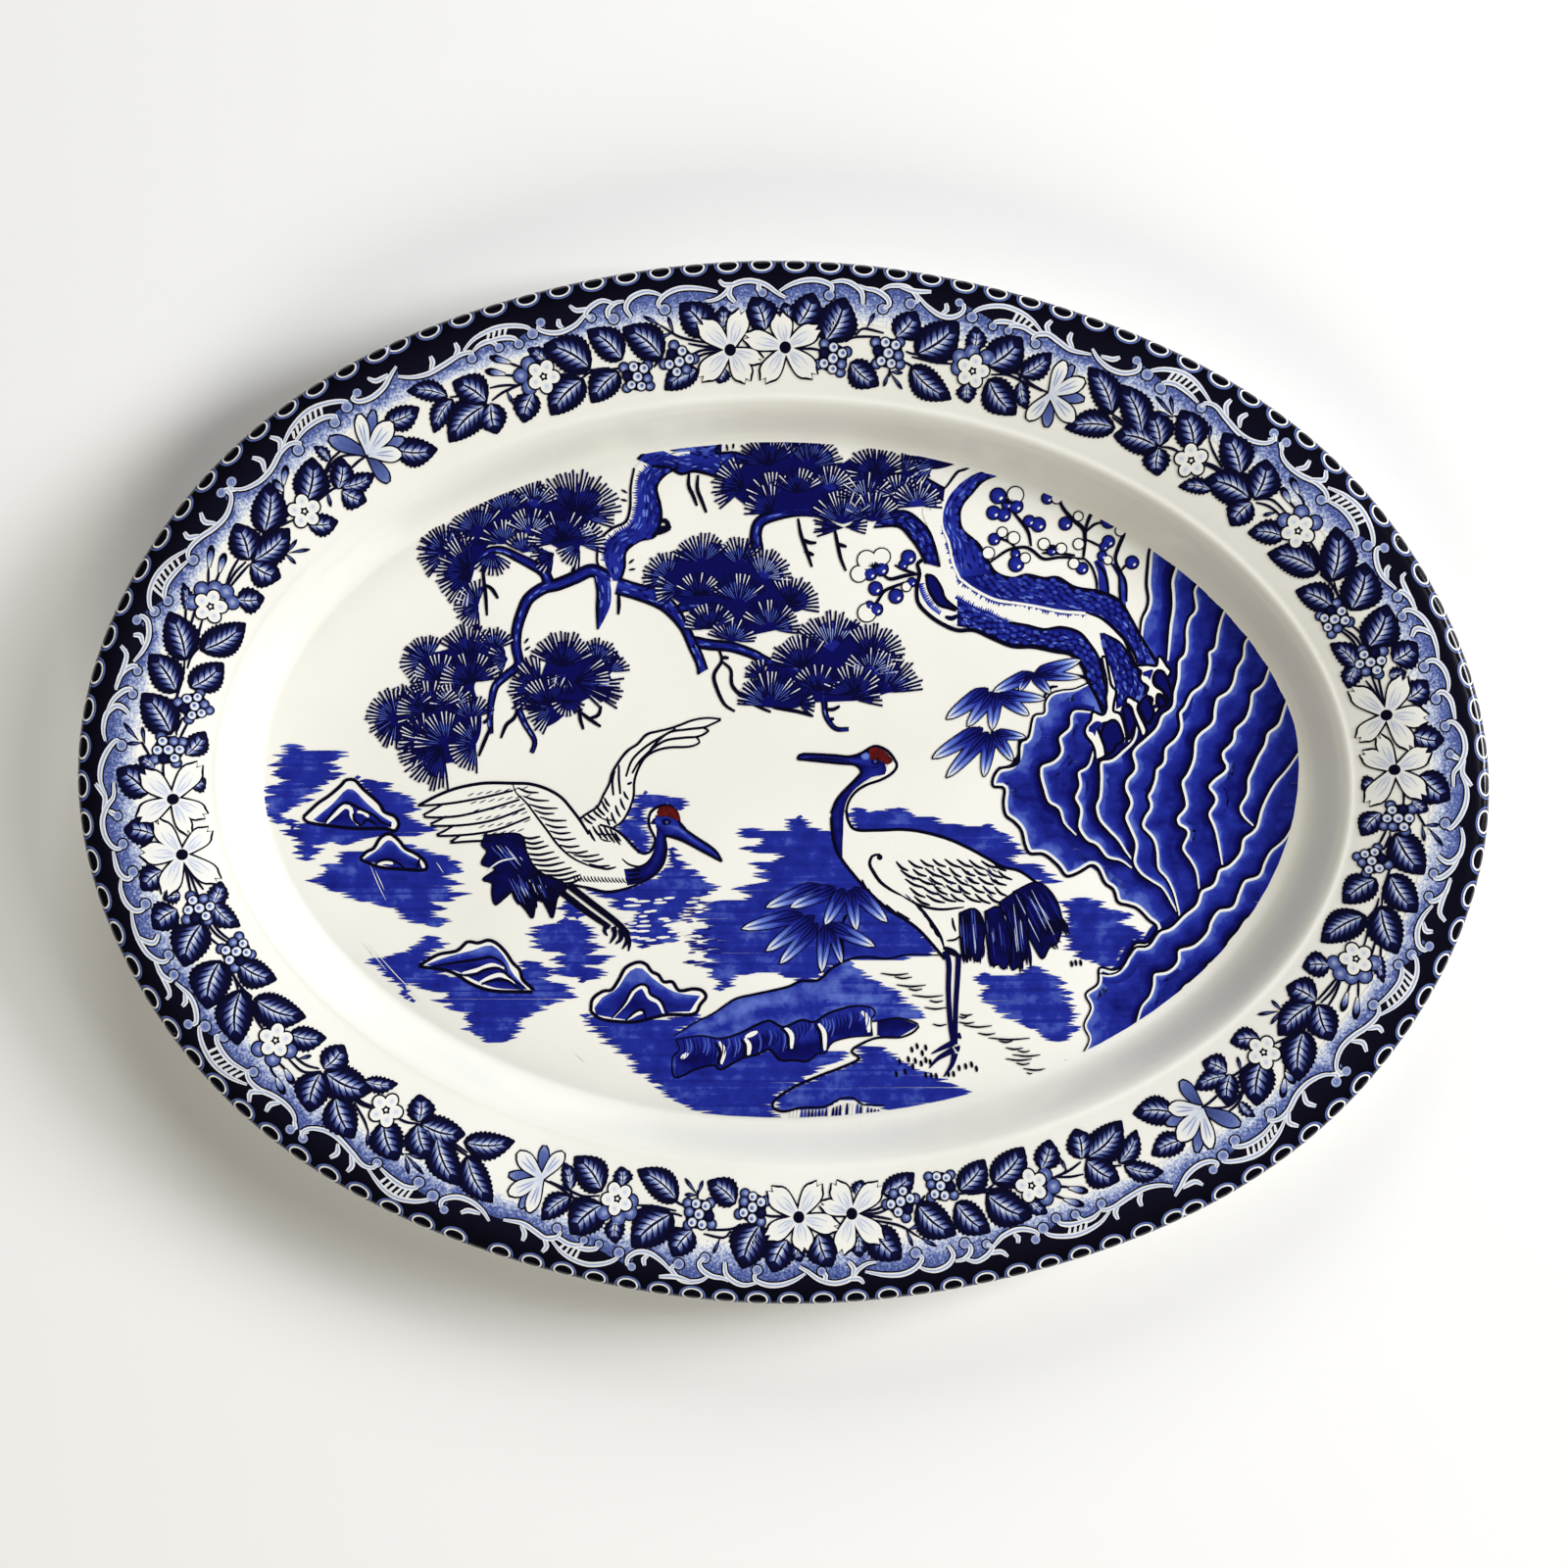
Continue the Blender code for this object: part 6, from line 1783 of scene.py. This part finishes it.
sheet(TINTS, xy("-38.6,-12 -36.8,-10 -36.6,-14 -37.2,-19 -39,-22.4 -42,-24.4 -46,-25"),
    xy("-30.5,-13 -34,-12 -34,-17 -34.4,-22 -37,-26.4 -41,-28.8 -45,-29.8"), (0.12, 0.3, 0.1), 26)
sheet(TINTS, xy("-37,-9.5 -33,-9.5 -30,-11 -26,-15.3 -20,-19.4 -17.8,-22.6"),
    xy("-36.8,-13 -34,-15.4 -31,-15.8 -27,-17.6 -22,-20.4 -18,-22.6"), (0.3, 0.55, 0.14), 26)
solid(BLANKS, xy("-38.2,-12 -38.2,-9 -36.6,-7.6 -36.4,-9.8 -37,-13 -36.4,-17 -37.2,-19"), 1.0)
disc(MARKS, (-33.8, -11.4), 1.5, (0.0, 0.1), squash=0.7)
disc(LINES, (-33.6, -11.5), 0.4, (0.6, 0.6), sides=8)
pen(xy("""-38,-19.6 -37,-16.5 -38.7,-12.4 -38.4,-9 -36,-7 -33,-6.7 -30.6,-8.8 -29.6,-12.3 -26,-15.3
    -20,-19.4 -17.7,-22.8"""), 0.85, ends=0.9)
pen(xy("-17.7,-22.8 -23,-20 -28,-17.3 -31,-16.1 -34,-15.6 -33.8,-19 -34.5,-23 -37,-26.5 -41,-28.9"),
    0.85, ends=0.9)
pen(xy("-46.5,-22 -44.6,-23.6 -41.5,-24.3 -38.6,-22.6 -37.4,-20"), 0.7)
strokes(table("-45,-25.4 -41,-25.2 / -45,-26.8 -41.4,-26.4 / -44.6,-28.2 -41,-27.6"), 0.9, 0.1)
line(LINES, xy("-64,-31.6 -57,-37 -50,-41.8"), (2, 1.9, 1.5), tone=0.0)
line(LINES, xy("-62,-29.6 -55,-35 -48,-40.4 -44.6,-44"), (2, 1.9, 1.8), tone=0.0)
for toe in table("""-50.5,-40.6 -51.6,-42.8 -50.6,-44.2 / -49,-41.6 -48.6,-44 -50,-46.4 /
        -47,-42.4 -46.8,-45 -48.4,-46.6 / -45.4,-43.4 -44.4,-46 -44.6,-48.6 /
        -46,-42.6 -45,-45.4 -46.4,-48"""):
    line(LINES, toe, (1.6, 1.3, 0.4), tone=0.02)
print("flying crane drawn")

# %% A few cuts that a knife left in the glaze
for cut in table("""-119,-24 -116.5,-30 -114.5,-34 / -117.5,-25.5 -115,-31 / -100,-23 -98,-26 /
        -119,-47 -112,-55 -104,-63 / -121,-46 -114.5,-54 / -60,-78 -57,-80.5"""):
    pen(cut, 0.22, 0.98, TOPS, ends=0.3)
print("knife cuts drawn")

# %% The tissue is cut to an oval and laid a little askew
CUT_CENTRE = Vector((0, 4.5))
CUT_HALF = (148.3, 101.0)
CUT_DEGREES = range(-110, 60, 4)
ASKEW = math.radians(1.34)
SPREAD = 1.012


def cut_oval(mesh):
    """Cuts off what runs past the tissue's edge on its right and below."""
    for degrees in CUT_DEGREES:
        angle = math.radians(degrees)
        edge = Vector((CUT_HALF[0] * math.cos(angle), CUT_HALF[1] * math.sin(angle))) + CUT_CENTRE
        out = Vector((CUT_HALF[1] * math.cos(angle), CUT_HALF[0] * math.sin(angle), 0)).normalized()
        parts = mesh.verts[:] + mesh.edges[:] + mesh.faces[:]
        bmesh.ops.bisect_plane(mesh, geom=parts, plane_co=(*edge, 0), plane_no=out, clear_outer=True)


for level, ink in PICTURE.items():
    cut_oval(ink.mesh)
    ink.face_all(up=True)
    lift, finish = SCENE_LEVELS[level]
    for corner in ink.mesh.verts:
        corner.co = (*(turned(corner.co.xy, ASKEW) * SPREAD), WELL_Z + PRINT_GAP + lift + corner.co.z)
    piece = make_piece(f"picture_{level}", ink.mesh, finish)
    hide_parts("scene_print")
    print(f"picture {level}: {len(piece.data.polygons)} faces")

# %% [markdown]
# ## Red enamel on the crowns
# After the glaze firing a painter touches each crown with red enamel, which stands up a little.

# %% Two domes of enamel
def enamel_finish():
    """Dark red enamel with uneven depth of colour."""
    material, tree, shader = new_material("crown_red", roughness=0.22)
    depth = ramp_node(tree, [(0.3, shade(34, 6, 8)), (0.7, shade(104, 22, 22))])
    tree.links.new(noise_node(tree, 700, 3.0).outputs["Fac"], depth.inputs["Fac"])
    tree.links.new(depth.outputs["Color"], shader.inputs["Base Color"])
    return material


crown_red = enamel_finish()
CROWNS = {
    "crown_enamel_flying_bird":
        xy("-36.9,-8.6 -36,-7.3 -33.4,-7 -31.2,-8.4 -30,-10.9 -32,-10.7 -34,-9.9 -36.5,-10"),
    "crown_enamel_standing_bird":
        xy("25.2,6.9 25,9.5 26.9,10.1 29.3,9.1 31.2,7.2 31.7,6 30.2,5.2 28.4,6.3 26.6,6.4"),
}
DOME_HEIGHT = 0.12
DOME_SLOPE = 0.5
for node, outline in CROWNS.items():
    mesh = bmesh.new()
    path = smooth_path(outline + outline[:1], 0.4)[:-1]
    low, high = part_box(node)[0][2] / MM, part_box(node)[0][2] / MM + DOME_HEIGHT
    ring = bmesh.ops.create_circle(mesh, cap_ends=True, segments=len(path), radius=1)["verts"]
    for corner, place in zip(ring, path):
        corner.co = (*turned(place, ASKEW), low)
    bmesh.ops.inset_region(mesh, faces=mesh.faces[:], thickness=DOME_SLOPE)
    for corner in {corner for face in mesh.faces for corner in face.verts} - set(ring):
        corner.co.z = high
    bmesh.ops.recalc_face_normals(mesh, faces=mesh.faces)
    if sum(face.normal.z for face in mesh.faces) < 0:
        bmesh.ops.reverse_faces(mesh, faces=mesh.faces)
    crown = make_piece(f"{node}_dome", mesh, crown_red)
    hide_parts(node)
print("crowns:", len(CROWNS))

# %% [markdown]
# ## Camera
# The platter is looked at from straight above, a touch off its middle, and lies turned by a degree.

# %% A camera straight above
CAMERA_HEIGHT = 1.6
FRAME_WIDTH = 0.4506
SENSOR_WIDTH = 36
CAMERA_SHIFT = (0.00014, -0.0005)
camera_data = bpy.data.cameras.new("camera")
camera_data.sensor_width = SENSOR_WIDTH
camera_data.lens = SENSOR_WIDTH * (CAMERA_HEIGHT - CREST_Z * MM) / FRAME_WIDTH
camera = bpy.data.objects.new("camera", camera_data)
camera.location = (*CAMERA_SHIFT, CAMERA_HEIGHT)
camera.rotation_euler = (0, 0, ASKEW)
bpy.context.collection.objects.link(camera)
bpy.context.scene.camera = camera
print(f"camera: {CAMERA_HEIGHT} m up, lens {camera_data.lens:.0f} mm")

# %% [markdown]
# ## Light
# The main light comes low from the right, so the wall of the well is bright on the left and in shade on
# the right. Weaker ones fill in from the near and the far side. Only the main light is mirrored in the
# glaze, because a second mirrored lamp would lay a grey veil over the dark ink.

# %% Soft lights, each given by its turn and height in degrees
LIGHT_DISTANCE = 2.6
LIGHTS = {
    "main_light": dict(turn=14, height=30, size=0.9, watts=65, colour=(0.95, 0.97, 1)),
    "upper_light": dict(turn=12, height=50, size=0.8, watts=14, colour=(1, 0.99, 0.96)),
    "near_light": dict(turn=262, height=35, size=1.2, watts=31, colour=(1, 0.95, 0.83)),
    "far_light": dict(turn=92, height=35, size=1.2, watts=27, colour=(1, 0.99, 0.96)),
}


def soft_light(name, turn, height, size, watts, colour):
    """A square soft light that looks at the platter."""
    data = bpy.data.lights.new(name, "AREA")
    data.size = size
    data.energy = watts
    data.color = colour
    light = bpy.data.objects.new(name, data)
    light.visible_glossy = name == "main_light"
    turn, height = math.radians(turn), math.radians(height)
    way = Vector((math.cos(turn) * math.cos(height), math.sin(turn) * math.cos(height), math.sin(height)))
    light.location = way * LIGHT_DISTANCE
    light.rotation_euler = (-way).to_track_quat("-Z", "Y").to_euler()
    bpy.context.collection.objects.link(light)


for name, facts in LIGHTS.items():
    soft_light(name, **facts)
print("lights:", len(LIGHTS))

# %% A dim warm room
ROOM_COLOUR = (1, 0.94, 0.84, 1)
ROOM_STRENGTH = 0.05
world = bpy.data.worlds.new("dim_room")
bpy.context.scene.world = world
world.use_nodes = True
room = world.node_tree.nodes["Background"].inputs
room["Color"].default_value = ROOM_COLOUR
room["Strength"].default_value = ROOM_STRENGTH
bpy.context.scene.view_settings.view_transform = "Standard"
print("room strength:", ROOM_STRENGTH)

# %% [markdown]
# ## The floor
# A plain pale sheet, which is staging and no part of the platter.

# %% A pale floor
FLOOR_HALF = 4
FLOOR_PAINT = (0.85, 0.85, 0.85, 1)
floor_mesh = bmesh.new()
bmesh.ops.create_grid(floor_mesh, x_segments=1, y_segments=1, size=FLOOR_HALF)
floor_data = bpy.data.meshes.new("floor")
floor_mesh.to_mesh(floor_data)
floor = bpy.data.objects.new("floor", floor_data)
bpy.context.collection.objects.link(floor)
floor_paint, _, floor_shader = new_material("pale_floor", roughness=0.8)
floor_shader.inputs["Base Color"].default_value = FLOOR_PAINT
floor_data.materials.append(floor_paint)
print("floor:", 2 * FLOOR_HALF, "m square")
